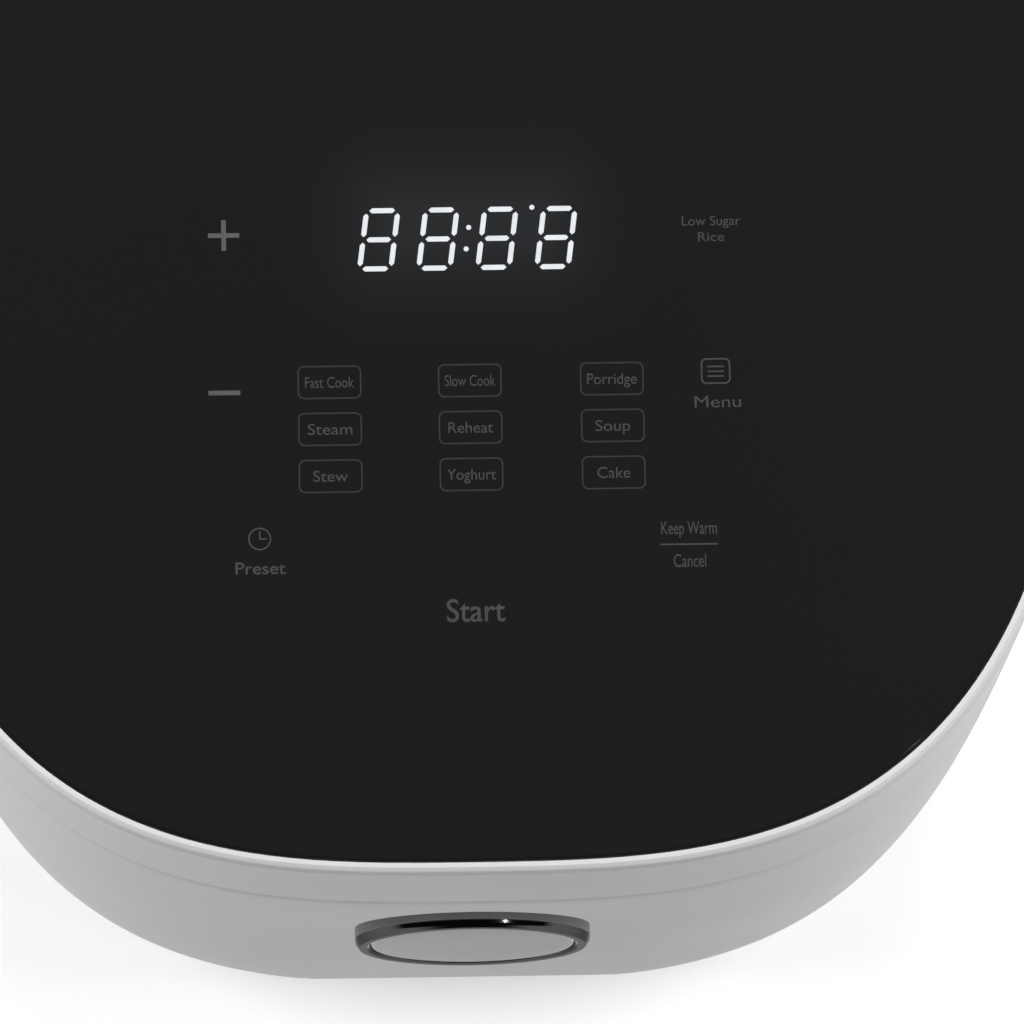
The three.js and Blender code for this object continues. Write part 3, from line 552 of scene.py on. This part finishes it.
def make_base():
    rim = [(-9.4, 4), (-6.6, 5.6, 2), (-5.2, 13.7), (-7.7, 13.7), (-9.2, 8, 1.5), (-11.5, 6.5)]
    rings = [plan_ring(-60, 4), *[plan_ring(o, z) for o, z in rounded(rim, False)], plan_ring(-60, 6.5)]
    base = object_of("base_tray", skin(rings))
    cuts = []
    for i in range(-4, 5):
        half = 30 - 2.2 * abs(i)
        cuts.append(bar(rectangle(i * 9 - 2, i * 9 + 2, POT_Y - half, POT_Y + half, 1.9), 0, 10))
    for i in range(-3, 4):
        cuts.append(bar(rectangle(i * 9 - 2, i * 9 + 2, 84, 104, 1.9), 0, 10))
    for x, y in BASE_SCREWS.values():
        cuts.append(bar(circle(x, y, 4.4, 32), 0, 5.0))
    carve(base, together(*cuts))
    piece(base, "body", "grey_base", ["base_plate"])


def make_feet():
    sole = [(0, 0.5), (4.4, 0.5, 0.3), (5.0, 0, 0.3), (7.4, 0, 0.8)]
    profile = [*sole, (8, 1.2, 0.5), (7.7, 3.9, 0.2), (0, 3.9)]
    for name, (x, y) in FEET.items():
        foot = turned(profile, x, y, steps=64)
        add(f"rubber_foot_{name}", foot, "body", "foot_rubber", [f"foot_{name}"])


def make_screws(kind, body, places, head, tip):
    """Pan-head screws with a cross recess, seen from below."""
    shank = []
    z = head + 2.4
    while z < tip - 2:
        shank += [(1.45, z), (1.9, z + 0.45), (1.45, z + 0.9)]
        z += 1.2
    profile = [*rounded([(0, head), (2.9, head, 0.5), (3.7, head + 0.8, 0.3), (3.7, head + 1.4, 0.2),
                         (1.45, head + 1.5)], False, 3), *shank, (0.2, tip), (0, tip)]
    for name, (x, y) in places.items():
        thing = object_of(f"{kind}_{name}_head", lathe(profile, x, y, steps=32))
        carve(thing, brick(x - 1.9, x + 1.9, y - 0.4, y + 0.4, head - 1, head + 0.8))
        carve(thing, brick(x - 0.4, x + 0.4, y - 1.9, y + 1.9, head - 1, head + 0.8))
        piece(thing, body, "steel", [f"{kind}_{name}"])


def knuckle(x0, x1):
    """A hinge knuckle, before it is bored for the pin."""
    return turned([(0, x0), (5, x0, 0.6), (5, x1, 0.6), (0, x1)], HINGE_Y, HINGE_Z, axis="X", steps=56)


def make_deck():
    """The ledge round the pot, with a shallow gutter, the latch slot and the body's hinge knuckles."""
    edge = [(-9, DECK_TOP), (-1.2, DECK_TOP, 0.5), (0.1, 181.2, 0.4), (0.1, 179.5), (-9, 179.5)]
    rings = [plan_ring(o, z) for o, z in rounded(edge, False, 4)]
    deck = object_of("deck", skin([plan_ring(-20, DECK_TOP), *rings, plan_ring(-20, 179.5)]))
    carve(deck, bar(circle(0, POT_Y, 112.5, 128), 170, 190))
    gutter = [(120.6, 184), (121.2, 181.3, 0.5), (123.4, 181.3, 0.5), (124.0, 184)]
    carve(deck, turned(gutter, 0, POT_Y, True, steps=128))
    carve(deck, bar(rectangle(-11, 11, -154, -135, 2.4), 170, 190))
    carve(deck, bar(rectangle(-14, 14, 147.5, 157.5, 2.4), 170, 190))
    collar = lathe([(112.5, 172), (114.5, 172), (114.5, 179.6), (112.5, 179.6)], 0, POT_Y, True, 128)
    carve(deck, collar, "UNION")
    for side in (-1, 1):
        x0, x1 = sorted((side * 34, side * 50))
        carve(deck, brick(x0 + 0.3, x1 - 0.3, HINGE_Y - 4, HINGE_Y + 4, 180, HINGE_Z, 1.2), "UNION")
        carve(deck, knuckle(x0, x1), "UNION")
    carve(deck, bar(circle(HINGE_Y, HINGE_Z, 2.7, 40), -52, 52, "X"))
    piece(deck, "body", "white_satin", ["top_deck"])


# ---------- pot, basket and heater ----------
def make_pot():
    outside = [(0, 64), (92, 64, 10), (102.5, 68.5, 12), (110.2, 92, 20), (110.2, 182.3, 0.5)]
    flange = [(118.2, 182.3), (119, 182.7, 0.4), (119, 183.4, 0.4), (118, 183.8), (110, 183.8, 1.2)]
    inside = [(108, 182.4, 1.2), (108, 92, 20), (100.4, 70.8, 12), (91, 66.4, 10), (0, 66.4)]
    shape = turned([*outside, *flange, *inside], 0, POT_Y, fillet=8, steps=160)
    add("pot", shape, "body", "non_stick", ["inner_pot"])


def make_basket():
    """Perforated straining basket with a rolled rim and three feet."""
    outside = [(0, 110), (93.5, 110, 4), (98.6, 115, 6), (101.2, 163.8, 2)]
    lip = [(104.6, 165.2, 1), (105, 166.4, 0.5), (104.2, 167.2, 0.5)]
    inside = [(100.4, 166.6, 2.4), (97.2, 116, 6), (93, 111.2, 3), (0, 111.2)]
    basket = object_of("basket", turned([*outside, *lip, *inside], 0, POT_Y, fillet=6, steps=144))
    feet = [(84 * math.cos(t), 84 * math.sin(t)) for t in (math.pi / 6, 5 * math.pi / 6, 3 * math.pi / 2)]
    holes = []
    pitch = 8.4
    for row in range(-11, 12):
        for column in range(-12, 13):
            x = (column + (row % 2) / 2) * pitch
            y = row * pitch * 0.866
            if 9 < math.hypot(x, y) < 86 and all(math.hypot(x - u, y - v) > 7 for u, v in feet):
                holes.append(bar(circle(x, POT_Y + y, 1.7, 10), 105, 116))
    carve(basket, together(*holes))
    slots = []
    for row in range(4):
        for i in range(40):
            a = 2 * math.pi * (i + row % 2 / 2) / 40
            c, s = math.cos(a), math.sin(a)
            z = 124 + row * 9
            slot = rectangle(-1.3, 1.3, z - 2.6, z + 2.6, 1.25, 3)
            slots.append(skin([[(r * c - u * s, POT_Y + r * s + u * c, v) for u, v in slot]
                               for r in (94, 106)]))
    carve(basket, together(*slots))
    for x, y in feet:
        foot = turned([(0, 66.8), (3.6, 66.8, 1), (4, 110.4), (0, 110.4)], x, POT_Y + y, steps=28)
        carve(basket, foot, "UNION")
    piece(basket, "body", "steel", ["strainer_basket"], "steel_turned")


# ---------- front button ----------
def leaning(shape):
    """Leans back whatever stands in front of the wall, as the button's face does."""
    vertices, faces = shape
    return [(x, y + FACE_LEAN * (z - BUTTON_Z) if y < FACE_BACK else y, z) for x, y, z in vertices], faces


def make_button():
    """The cap, the dark ring that stands a little proud of it, and a grey sleeve round the ring's outer side;
    the sleeve's flat grey is a painted reflection of the white wall in the ring's dark chrome.
    """
    f, r = BUTTON_FRONT, BUTTON_RADIUS
    crown = spline([(0, f - 0.85), (6, f - 0.8), (12, f - 0.65), (17, f - 0.4), (20.8, f - 0.1)], 5)
    edge = [(20.8, f - 0.1), (22.2, f + 0.15, 0.5), (r, f + 1.2, 0.5), (r, f + 8.7, 0.3), (r - 2, f + 8.7)]
    stem = [(r - 2, f + 3.7), (4, f + 3.7), (4, -161.2, 0.6), (0, -161.0)]
    cap = lathe([*crown, *rounded([*edge, *stem], False)], 0, BUTTON_Z, axis="Y", steps=160)
    inner, outer = r + 0.45, RING_RADIUS
    front = [(inner, -172.4), (inner, f + 0.1, 0.3), (inner + 0.5, f - 0.25, 0.4), (25.1, f - 0.25, 0.3)]
    side = [(25.8, f + 0.6, 1), (outer, f + 1.45, 0.3), (outer, f + 1.7), (25.3, f + 1.7)]
    back = [(25.3, RING_BACK), (24.4, RING_BACK), (24.4, -172.4)]
    bezel = turned([*front, *side, *back], 0, BUTTON_Z, True, 6, 160, "Y")
    # This band's grey finish is a painted reflection of the white wall on the ring's outer side.
    band = [(25.35, f + 1.75), (outer, f + 1.75), (outer, RING_BACK), (25.35, RING_BACK)]
    reflection_sleeve = lathe(band, 0, BUTTON_Z, True, 160, "Y")
    things = [add("button_cap", leaning(cap), "open_button", "button_face", ["open_button"]),
              add("button_bezel", leaning(bezel), "body", "dark_chrome", ["button_ring"]),
              add("bezel_reflection_sleeve", leaning(reflection_sleeve), "body", "dark_chrome", finish="bezel_side_painted_reflection")]
    for thing in things:
        thing.visible_diffuse = thing.visible_glossy = thing.visible_shadow = False


# ---------- rear ----------
def make_collector():
    """Condensate box: a thin translucent tray with a finger tab on its rear face."""
    box = object_of("condensate_box", bar(rectangle(-32, 32, 146, 178, 3), 146, 176.5, "Y", 0.8))
    carve(box, brick(-30, 30, 148, 174.5, 148, 190, 2.5))
    carve(box, bar(rectangle(-12, 12, 171, 174, 1.2), 175.5, 180, "Y", 0.7), "UNION")
    for i in range(-3, 4):
        carve(box, brick(i * 3 - 0.5, i * 3 + 0.5, 179.2, 181, 171.6, 173.4))
    piece(box, "dew_box", "clear_plastic", ["dew_collector"])


def make_inlet():
    plug = object_of("inlet_housing", bar(rectangle(-14, 14, 49, 71, 2), 150, 174.5, "Y", 0.5))
    carve(plug, bar(rectangle(-19, 19, 45, 75, 2), 168.2, 169.7, "Y"), "UNION")
    carve(plug, bar(rectangle(-12, 12, 51.5, 68.5, 1.4), 154, 180, "Y"))
    for x, z in ((-7, 58), (7, 58), (0, 62)):
        carve(plug, bar(rectangle(x - 1.3, x + 1.3, z - 2.3, z + 2.3), 140, 160, "Y"))
    piece(plug, "body", "component_black", ["inlet_socket"])
    for wire, x, z in (("live", -7, 58), ("neutral", 7, 58), ("earth", 0, 62)):
        blade = bar(rectangle(x - 1, x + 1, z - 2, z + 2, 0.5, 3), 144, 164, "Y", 0.4)
        add(f"blade_{wire}", blade, "body", "brass", [f"inlet_pin_{wire}"])


def helix(radius, length, turns, wire, place, steps=28, sides=10):
    """A coil of round wire; place turns (x, y, along) into a point."""
    rings = []
    total = turns * steps
    for i in range(total + 1):
        a = 2 * math.pi * i / steps
        rise = length / total * i
        ring = []
        for k in range(sides):
            b = 2 * math.pi * k / sides
            r = radius + wire * math.cos(b)
            ring.append(place(r * math.cos(a), r * math.sin(a), rise + wire * math.sin(b)))
        rings.append(ring)
    return skin(rings)


def make_springs():
    hinge = helix(3.7, 22, 7, 0.7, lambda x, y, a: (-11 + a, HINGE_Y + x, HINGE_Z + y))
    add("hinge_coil", hinge, "body", "steel", ["hinge_spring"])
    press = helix(7.5, 4.2, 3, 0.6, lambda x, y, a: (x, -166.9 - a, BUTTON_Z + y))
    add("button_coil", press, "body", "steel", ["button_spring"])
    sense = helix(9, 16.0, 5, 0.6, lambda x, y, a: (x, POT_Y + y, 41.6 + a))
    add("sensor_coil", sense, "body", "steel", ["sensor_spring"])
    pin = [(0, -49.6), (2.5, -49.6, 0.5), (2.5, 49.6, 0.5), (0, 49.6)]
    add("hinge_rod", turned(pin, HINGE_Y, HINGE_Z, axis="X", steps=40), "body", "steel", ["hinge_pin"])


# ---------- lid ----------
def make_lid_frame():
    outside = [(2.7, LID_SPLIT, 0.4), (3.0, 187.6, 0.4), (2.85, 205), (2.7, 225.4, 1.2), (2.3, 227.3, 0.9)]
    rim = [(1.3, 227.85, 0.6), (0.3, 227.9, 0.1), (0.3, 225.2), (-5, 225.2), (-5, 223.2)]
    inside = [(-0.4, 221.2, 1), (0.4, LID_SPLIT, 0.3)]
    skirt = object_of("lid_skirt", loft(rounded([*outside, *rim, *inside], True, 5), LID_REAR))
    for side in (-1, 1):
        x0, x1 = sorted((side * 13.4, side * 34))
        carve(skirt, brick(x0, x1, 150, 170, 180, 192.1))
    carve(skirt, bar(circle(HINGE_Y, HINGE_Z, 5.8, 48), -50.8, 50.8, "X"))
    piece(skirt, "lid", "white_gloss", ["lid_frame"], sharp=38)


def make_panel():
    cut = LID_REAR - 2.8
    edge = rounded([(0.05, 225.5), (0.05, 227.6, 0.15), (-0.5, LID_TOP, 0.3), (-3, LID_TOP)], False, 5)
    panel = object_of("control_panel", skin([plan_ring(o, z, cut) for o, z in
                                             [(-4, 225.5), *edge, (-4.5, LID_TOP)]]))
    carve(panel, bar(circle(0, VENT_Y, VENT_RADIUS + 0.4, 96), 220, 240))
    piece(panel, "lid", "black_panel", ["touch_panel"])


def make_lid_base():
    """The lid's lower plate with the round recess for the inner lid, seen when the lid is open."""
    cut = LID_REAR - 2.2
    edge = rounded([(-8, 190.1), (0, 190.1, 0.4), (0, 187.6, 0.9), (-8, 187.6)], False, 4)
    plate = object_of("lid_underside", skin([plan_ring(o, z, cut) for o, z in
                                             [(-12, 190.1), *edge, (-12, 187.6)]]))
    carve(plate, bar(circle(0, POT_Y, 113, 128), 180, 192))
    pan = [(0, 198), (112, 198, 3), (112, 187.6, 0.5), (114.2, 187.6, 0.5), (114, 200, 3), (0, 200)]
    carve(plate, turned(pan, 0, POT_Y, steps=144), "UNION")
    carve(plate, bar(circle(0, VENT_Y, 13, 48), 190, 205))
    carve(plate, bar(circle(45, POT_Y + 40, 3.4, 32), 190, 205))
    stud = [(0, 184.6), (3.9, 184.6, 0.8), (3.9, 199), (0, 199)]
    carve(plate, turned(stud, 0, POT_Y, steps=40), "UNION")
    well = lathe([(24, 199), (25.6, 199), (25.6, 225.2), (24, 225.2)], 0, VENT_Y, True, 72)
    carve(plate, well, "UNION")
    for side in (-1, 1):
        x0, x1 = sorted((side * 14, side * 33.4))
        carve(plate, brick(x0 + 0.2, x1 - 0.2, 150, HINGE_Y, 187.6, 191.5, 0.8, 0.4), "UNION")
        carve(plate, knuckle(x0, x1), "UNION")
    carve(plate, bar(circle(HINGE_Y, HINGE_Z, 2.7, 40), -52, 52, "X"))
    for side in (-1, 1):
        x0, x1 = sorted((side * 33.6, side * 50.8))
        carve(plate, bar(circle(HINGE_Y, HINGE_Z, 5.8, 48), x0, x1, "X"))
    carve(plate, bar(circle(HINGE_Y, HINGE_Z, 5.8, 48), -13.8, 13.8, "X"))
    for x, y in LID_SCREWS.values():
        carve(plate, bar(circle(x, y, 4.4, 32), 180, 188.9))
        carve(plate, bar(circle(x, y, 2.4, 24), 180, 200))
    piece(plate, "lid", "white_satin", ["lid_base"])


def make_inner_lid():
    middle = [(4.6, 187.6), (30, 187.6), (34, 186.6, 2), (40, 186.6, 2), (44, 187.6, 2), (90, 187.6, 2)]
    edge = [(96, 187.4, 2), (101, 186, 2), (108.4, 186, 0.4), (108.4, 187.2, 0.4), (101.6, 187.2, 2)]
    back = [(96.6, 188.8, 2), (4.6, 188.8)]
    disc = object_of("inner_lid_disc", turned([*middle, *edge, *back], 0, POT_Y, True, 5, 160))
    holes = [bar(circle(0, VENT_Y - 4, 2.4, 20), 180, 195)]
    for i in range(8):
        a = math.pi * i / 4
        holes.append(bar(circle(8 * math.cos(a), VENT_Y - 4 + 8 * math.sin(a), 2.2, 20), 180, 195))
    carve(disc, together(*holes))
    piece(disc, "lid", "aluminium", ["inner_lid"])
    lip = [(108.8, 185.6, 0.4), (110.6, 184.2, 0.4), (114.2, 184.5, 0.6), (117.4, 184.1, 0.5)]
    root = [(118, 185.1, 0.4), (117.4, 187.2, 0.4), (111.4, 187.2, 0.5), (111.4, 191, 0.5), (108.8, 191, 0.5)]
    seal = turned([*lip, *root], 0, POT_Y, True, 5, 160)
    add("sealing_ring", seal, "lid", "silicone", ["inner_lid_gasket"])
    button = [(4.2, 185, 0.3), (8.5, 185, 0.7), (8.5, 187.3, 0.3), (4.4, 187.3)]
    collar = [(4.4, 189.1), (7.5, 189.1, 0.4), (7.0, 191, 0.5), (4.2, 191, 0.3)]
    grommet = turned([*button, *collar], 0, POT_Y, True, 4, 64)
    add("centre_grommet", grommet, "lid", "silicone", ["inner_lid_grommet"])


def make_vent():
    r = VENT_RADIUS - 0.4
    top = [(0, 229.6), (17, 229.6, 8), (21.2, 229.3, 2), (23.3, 228.6, 0.8), (r, 227.4, 0.6), (r, 225.5)]
    neck = [(r - 2.2, 225.5), (r - 2.2, 219, 0.4), (r - 3.6, 219, 0.4), (r - 3.6, 226.1), (0, 226.1)]
    cap = object_of("steam_cap", turned([*top, *neck], 0, VENT_Y, fillet=6, steps=128))
    for i in range(-3, 4):
        half = math.sqrt(13.5 ** 2 - (i * 3.6) ** 2)
        y = VENT_Y + i * 3.6
        carve(cap, bar(rectangle(-half, half, y - 0.9, y + 0.9, 0.85), 220, 240))
    groove = [(18.2, 231), (18.2, 229.35, 0.2), (18.7, 229.1, 0.2), (19.2, 229.35, 0.2), (19.2, 231)]
    carve(cap, turned(groove, 0, VENT_Y, True, steps=128))
    piece(cap, "vent", "component_black", ["vent_cap"])
    r = VENT_RADIUS - 0.8
    outside = [(4, 193, 0.4), (10.8, 193, 0.6), (10.8, 200.7), (r, 200.7, 1.4), (r, 224.9, 0.4)]
    inside = [(r - 1.4, 224.9, 0.4), (r - 1.4, 202.1, 1.4), (4, 202.1, 0.5)]
    cup = turned([*outside, *inside], 0, VENT_Y, True, 5, 96)
    add("steam_cup", cup, "vent", "component_black", ["vent_cup"])
    seal = [(11, 197, 0.2), (12.4, 197, 0.4), (12.8, 198.6, 0.4), (12.4, 200.2, 0.4), (11, 200.2, 0.2)]
    add("steam_seal", turned(seal, 0, VENT_Y, True, 4, 72), "vent", "silicone", ["vent_seal"])


def make_latch():
    hook = object_of("lid_hook", brick(-9, 9, -152, -138, 185.3, 187.3, 1.5, 0.4))
    leg = [(-146.5, 165.2, 0.6), (-143.5, 165.2, 0.6), (-143.5, 186.5), (-146.5, 186.5)]
    carve(hook, bar(rounded(leg), -9, 9, "X", 0.4), "UNION")
    tooth = [(-149.2, 167.0, 0.5), (-147.4, 164, 0.8), (-143.5, 164, 0.8), (-143.5, 168), (-149.2, 168, 0.5)]
    carve(hook, bar(rounded(tooth), -9, 9, "X"), "UNION")
    carve(hook, bar(rectangle(-152, -138, 170, 183), -4.5, 4.5, "X"))
    piece(hook, "lid", "steel", ["lid_catch"])
    lever = [(-159.4, 144.5, 0.6), (-157, 144.5, 0.6), (-157, 169.5, 0.8)]
    nose = [(-150.2, 169.5, 0.8), (-150.2, 170.7, 0.6), (-152.6, 172.5, 1), (-159.4, 172.5, 1)]
    arm = object_of("latch_arm", bar(rounded([*lever, *nose]), -6, 6, "X", 0.3))
    pad = [(0, -6), (2, -6, 0.4), (2, 6, 0.4), (0, 6)]
    carve(arm, turned(pad, -158.7, BUTTON_Z, axis="X", steps=32), "UNION")
    hub = [(0, -6), (3.6, -6, 0.4), (3.6, 6, 0.4), (0, 6)]
    carve(arm, turned(hub, LATCH_PIVOT_Y, LATCH_PIVOT_Z, axis="X", steps=48), "UNION")
    carve(arm, bar(circle(LATCH_PIVOT_Y, LATCH_PIVOT_Z, 1.7, 32), -8, 8, "X"))
    piece(arm, "latch", "white_satin", ["latch_lever"])


# ---------- markings on the panel ----------
INK_LOW, INK_HIGH = 227.95, 228.015


def flat(outlines):
    return together(*[bar(o, INK_LOW, INK_HIGH) for o in outlines])


def outline_band(outer, inner):
    """A printed line: the band between two outlines that have the same number of points."""
    rings = [[(x, y, z) for x, y in loop] for loop, z in
             ((outer, INK_LOW), (outer, INK_HIGH), (inner, INK_HIGH), (inner, INK_LOW))]
    return skin(rings, loop=True)


def key_outline(x, y, width, height, line, radius):
    y += KEYPAD_Y
    loops = []
    for half in (line / 2, -line / 2):
        w, h = width / 2 + half, height / 2 + half
        loops.append(rectangle(x - w, x + w, y - h, y + h, radius + half))
    return outline_band(*loops)


def legend(words, x, y, width, cap, weight=0.0):
    """A word set in the built-in typeface, stretched to its printed width and capital height."""
    curve = bpy.data.curves.new("words", "FONT")
    curve.body = words
    curve.extrude = 1.0
    curve.offset = weight
    curve.resolution_u = 5
    probe = bpy.data.curves.new("probe", "FONT")
    probe.body = "H"
    probe.offset = weight
    meshes = []
    for data in (curve, probe):
        holder = bpy.data.objects.new("holder", data)
        bpy.context.scene.collection.objects.link(holder)
        meshes.append(settled(holder))
        bpy.data.objects.remove(holder)
    mesh, letter = meshes
    xs = [v.co.x for v in mesh.vertices]
    ys = [v.co.y for v in letter.vertices]
    scale_x = width / (max(xs) - min(xs))
    scale_y = cap / (max(ys) - min(ys))
    for v in mesh.vertices:
        v.co = ((x + (v.co.x - (max(xs) + min(xs)) / 2) * scale_x) * MM,
                (y + KEYPAD_Y + (v.co.y - (max(ys) + min(ys)) / 2) * scale_y) * MM,
                (INK_HIGH if v.co.z > 0 else INK_LOW) * MM)
    name = "word_" + "".join(c for c in words.lower() if c.isalnum())
    mesh.name = name
    thing = bpy.data.objects.new(name, mesh)
    bpy.context.scene.collection.objects.link(thing)
    thing.data.materials.clear()
    thing.data.materials.append(FINISHES["legend"])
    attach(thing, "lid")


KEYS = {
    ("Fast Cook", -1, 1): 10.4, ("Slow Cook", 0, 1): 10.8, ("Porridge", 1, 1): 10.6,
    ("Steam", -1, 0): 9.5, ("Reheat", 0, 0): 9.5, ("Soup", 1, 0): 7.4,
    ("Stew", -1, -1): 7.4, ("Yoghurt", 0, -1): 10.4, ("Cake", 1, -1): 7.0,
}
KEY_COLUMNS, KEY_PITCH_Y = {-1: -29.95, 0: 0, 1: 30.3}, 10.2


def make_keys():
    boxes = []
    for (words, column, row), width in KEYS.items():
        x, y = KEY_COLUMNS[column], row * KEY_PITCH_Y
        boxes.append(key_outline(x, y, 13.28, 6.93, 0.3, 1.2))
        legend(words, x, y, width, 2.35)
    add("key_outlines", together(*boxes), "lid", None, finish="legend_dim")
    legend("Low Sugar", 52.27, 44.5, 12.5, 2.0)
    legend("Rice", 52.19, 41.0, 5.6, 2.0)
    legend("Menu", 52.8, 4.9, 9.9, 2.5)
    legend("Keep Warm", 46.04, -22.4, 11.8, 2.75)
    legend("Cancel", 46.1, -29.5, 6.9, 2.75)
    legend("Preset", -45.1, -29.9, 10.6, 2.6, weight=0.008)
    legend("Start", 0.47, -39.6, 12.4, 4.9, weight=0.008)


def make_symbols():
    plus_x, minus_x, menu_x, cancel_x, clock_x = -52.15, -52.35, 52.5, 46, -45.2
    y = KEYPAD_Y + 42.6
    a, b = 0.5, 3.35
    plus = [(-a, -b), (a, -b), (a, -a), (b, -a), (b, a), (a, a),
            (a, b), (-a, b), (-a, a), (-b, a), (-b, -a), (-a, -a)]
    bright = [[(plus_x + u, y + v) for u, v in plus]]
    y = KEYPAD_Y + 8.2
    bright.append(rectangle(minus_x - 3.4, minus_x + 3.4, y - 0.5, y + 0.5, 0.1))
    add("plus_and_minus", flat(bright), "lid", None, finish="legend_bright")
    lines = []
    for i in (-1, 0, 1):
        y = KEYPAD_Y + 11.5 + i * 1.05
        lines.append(rectangle(menu_x - 1.78, menu_x + 1.78, y - 0.17, y + 0.17, 0.05))
    y = KEYPAD_Y - 25.96
    lines.append(rectangle(cancel_x - 6.1, cancel_x + 6.1, y - 0.17, y + 0.17, 0.05))
    x, y = clock_x, KEYPAD_Y - 23.57
    lines.append(rectangle(x - 0.15, x + 0.15, y - 0.15, y + 1.7, 0.05))
    lines.append(rectangle(x + 0.15, x + 1.5, y - 0.15, y + 0.15, 0.05))
    dial = outline_band(circle(x, y, 2.45), circle(x, y, 2.15))
    menu = key_outline(menu_x, 11.56, 6.0, 5.3, 0.34, 1.0)
    add("symbols", together(flat(lines), dial, menu), "lid", None, finish="legend")


DIGIT_PITCH, DIGIT_WIDTH, DIGIT_HEIGHT, SEGMENT, SEGMENT_GAP = 12.65, 6.7, 12.75, 1.1, 0.6
SLANT = math.tan(math.radians(7.5))


def segment(long, half, upright=False):
    """A lit bar with pointed ends, long and half being half its length and width; it lies along x or y."""
    points = [(-long, 0), (half - long, -half), (long - half, -half),
              (long, 0), (long - half, half), (half - long, half)]
    return [(-v, u) for u, v in points] if upright else points


def make_digits():
    """Four slanted seven-segment digits, the colon and a dot, all lit."""
    outlines = []
    half, w, h = SEGMENT / 2, DIGIT_WIDTH / 2, DIGIT_HEIGHT / 2

    def put(points, cx):
        outlines.append([(cx + u + v * SLANT, DISPLAY_Y + v) for u, v in points])

    for i in range(4):
        cx = (i - 1.5) * DIGIT_PITCH
        for v in (h, 0, -h):
            lit = segment(w - SEGMENT_GAP - (0 if v else 0.1), half)
            put([(p, v + q) for p, q in lit], cx)
        lit = segment(h / 2 - SEGMENT_GAP, half, True)
        for side in (-w, w):
            for middle in (-h / 2, h / 2):
                put([(side + p, middle + q) for p, q in lit], cx)
    for u, v, r in ((0, 2.35, 0.55), (0, -2.35, 0.55), (DIGIT_PITCH + 0.4, 6.6, 0.55)):
        cx = u + v * SLANT
        outlines.append([(cx + p, DISPLAY_Y + 0.1 + v + q) for p, q in circle(0, 0, r, 20)])
    add("display_segments", flat(outlines), "lid", None, finish="display_light")


# ---------- carried-over solids ----------
CARRIED = {
    "inner_liner": "aluminium", "heating_plate": "cast_aluminium", "thermal_fuse": "brass",
    "sensor_cap": "aluminium", "sensor_guide": "steel", "power_board": "circuit_board",
    "transformer": "winding_yellow", "heater_relay": "component_black", "filter_capacitor": "winding_yellow",
    "inlet_lead_live": "lead_red", "inlet_lead_neutral": "lead_blue", "button_guide": "white_satin",
    "latch_pin": "steel", "board_tray": "white_satin", "display_board": "circuit_board",
    "display_module": "component_black", "touch_film": "clear_plastic", "lid_thermistor": "steel",
}


def finish_carried():
    """Hidden inner solids keep their CAD shape and get a finish of their own."""
    for name, finish in CARRIED.items():
        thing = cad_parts[name]
        thing.data.materials.clear()
        thing.data.materials.append(FINISHES[finish])


# ---------- studio ----------
def area_light(name, place, aim, size, power, sparkle=False):
    data = bpy.data.lights.new(name, "AREA")
    data.shape = "RECTANGLE"
    data.size, data.size_y = size
    data.energy = power
    light = bpy.data.objects.new(name, data)
    bpy.context.scene.collection.objects.link(light)
    light.location = place
    light.visible_glossy = sparkle
    light.rotation_mode = "QUATERNION"
    light.rotation_quaternion = (Vector(aim) - Vector(place)).to_track_quat("-Z", "Y")


def make_studio():
    n = Nodes("floor")
    tone = n.mix(n.ramp(n.noise(3, 3), 0.3, 0.7, 0, 1), (0.66, 0.66, 0.66), (0.68, 0.68, 0.68))
    n.link(tone, n.shader.inputs["Base Color"])
    n.shader.inputs["Roughness"].default_value = 0.9
    n.shader.inputs["Specular IOR Level"].default_value = 0.1
    n.shader.inputs["Emission Color"].default_value = (1, 1, 1, 1)
    n.shader.inputs["Emission Strength"].default_value = 0.5
    square = rectangle(-4000, 4000, -4000, 4000)
    floor = object_of("floor", skin([[(x, y, z) for x, y in square] for z in (0, -20)]))
    floor.data.materials.append(n.material)
    floor.visible_diffuse = floor.visible_glossy = False
    world = bpy.data.worlds.new("studio")
    bpy.context.scene.world = world
    world.use_nodes = True
    tree = world.node_tree
    where = tree.nodes.new("ShaderNodeTexCoord")
    split = tree.nodes.new("ShaderNodeSeparateXYZ")
    tree.links.new(where.outputs["Generated"], split.inputs["Vector"])
    ramp = tree.nodes.new("ShaderNodeMapRange")
    for key, number in zip(("From Min", "From Max", "To Min", "To Max"), (0.06, 0.26, 1.0, 0.02)):
        ramp.inputs[key].default_value = number
    tree.links.new(split.outputs["Z"], ramp.inputs["Value"])
    tree.links.new(ramp.outputs["Result"], tree.nodes["Background"].inputs["Color"])
    tree.nodes["Background"].inputs["Strength"].default_value = 0.74
    area_light("left_box", (-2.1, 0.2, 1.9), (0, 0, 0.1), (1.5, 1.2), 56)
    area_light("right_box", (2.1, 0.2, 1.9), (0, 0, 0.1), (1.5, 1.2), 60)
    area_light("rear_box", (0.1, 2.3, 1.8), (0, 0, 0.1), (1.8, 1.0), 50)
    area_light("glint", (1.15, -0.8, 2.0), (0, 0, 0.2), (0.06, 0.06), 2.5, sparkle=True)
    bpy.context.scene.view_settings.view_transform = "Standard"


make_body_shell()
make_base()
make_feet()
make_screws("base_screw", "body", BASE_SCREWS, 4.1, 30)
make_deck()
make_pot()
make_basket()
make_button()
make_collector()
make_inlet()
make_springs()
make_lid_frame()
make_panel()
make_lid_base()
make_inner_lid()
make_vent()
make_latch()
make_screws("lid_screw", "lid", LID_SCREWS, 187.7, 202)
make_keys()
make_symbols()
make_digits()
finish_carried()
make_studio()
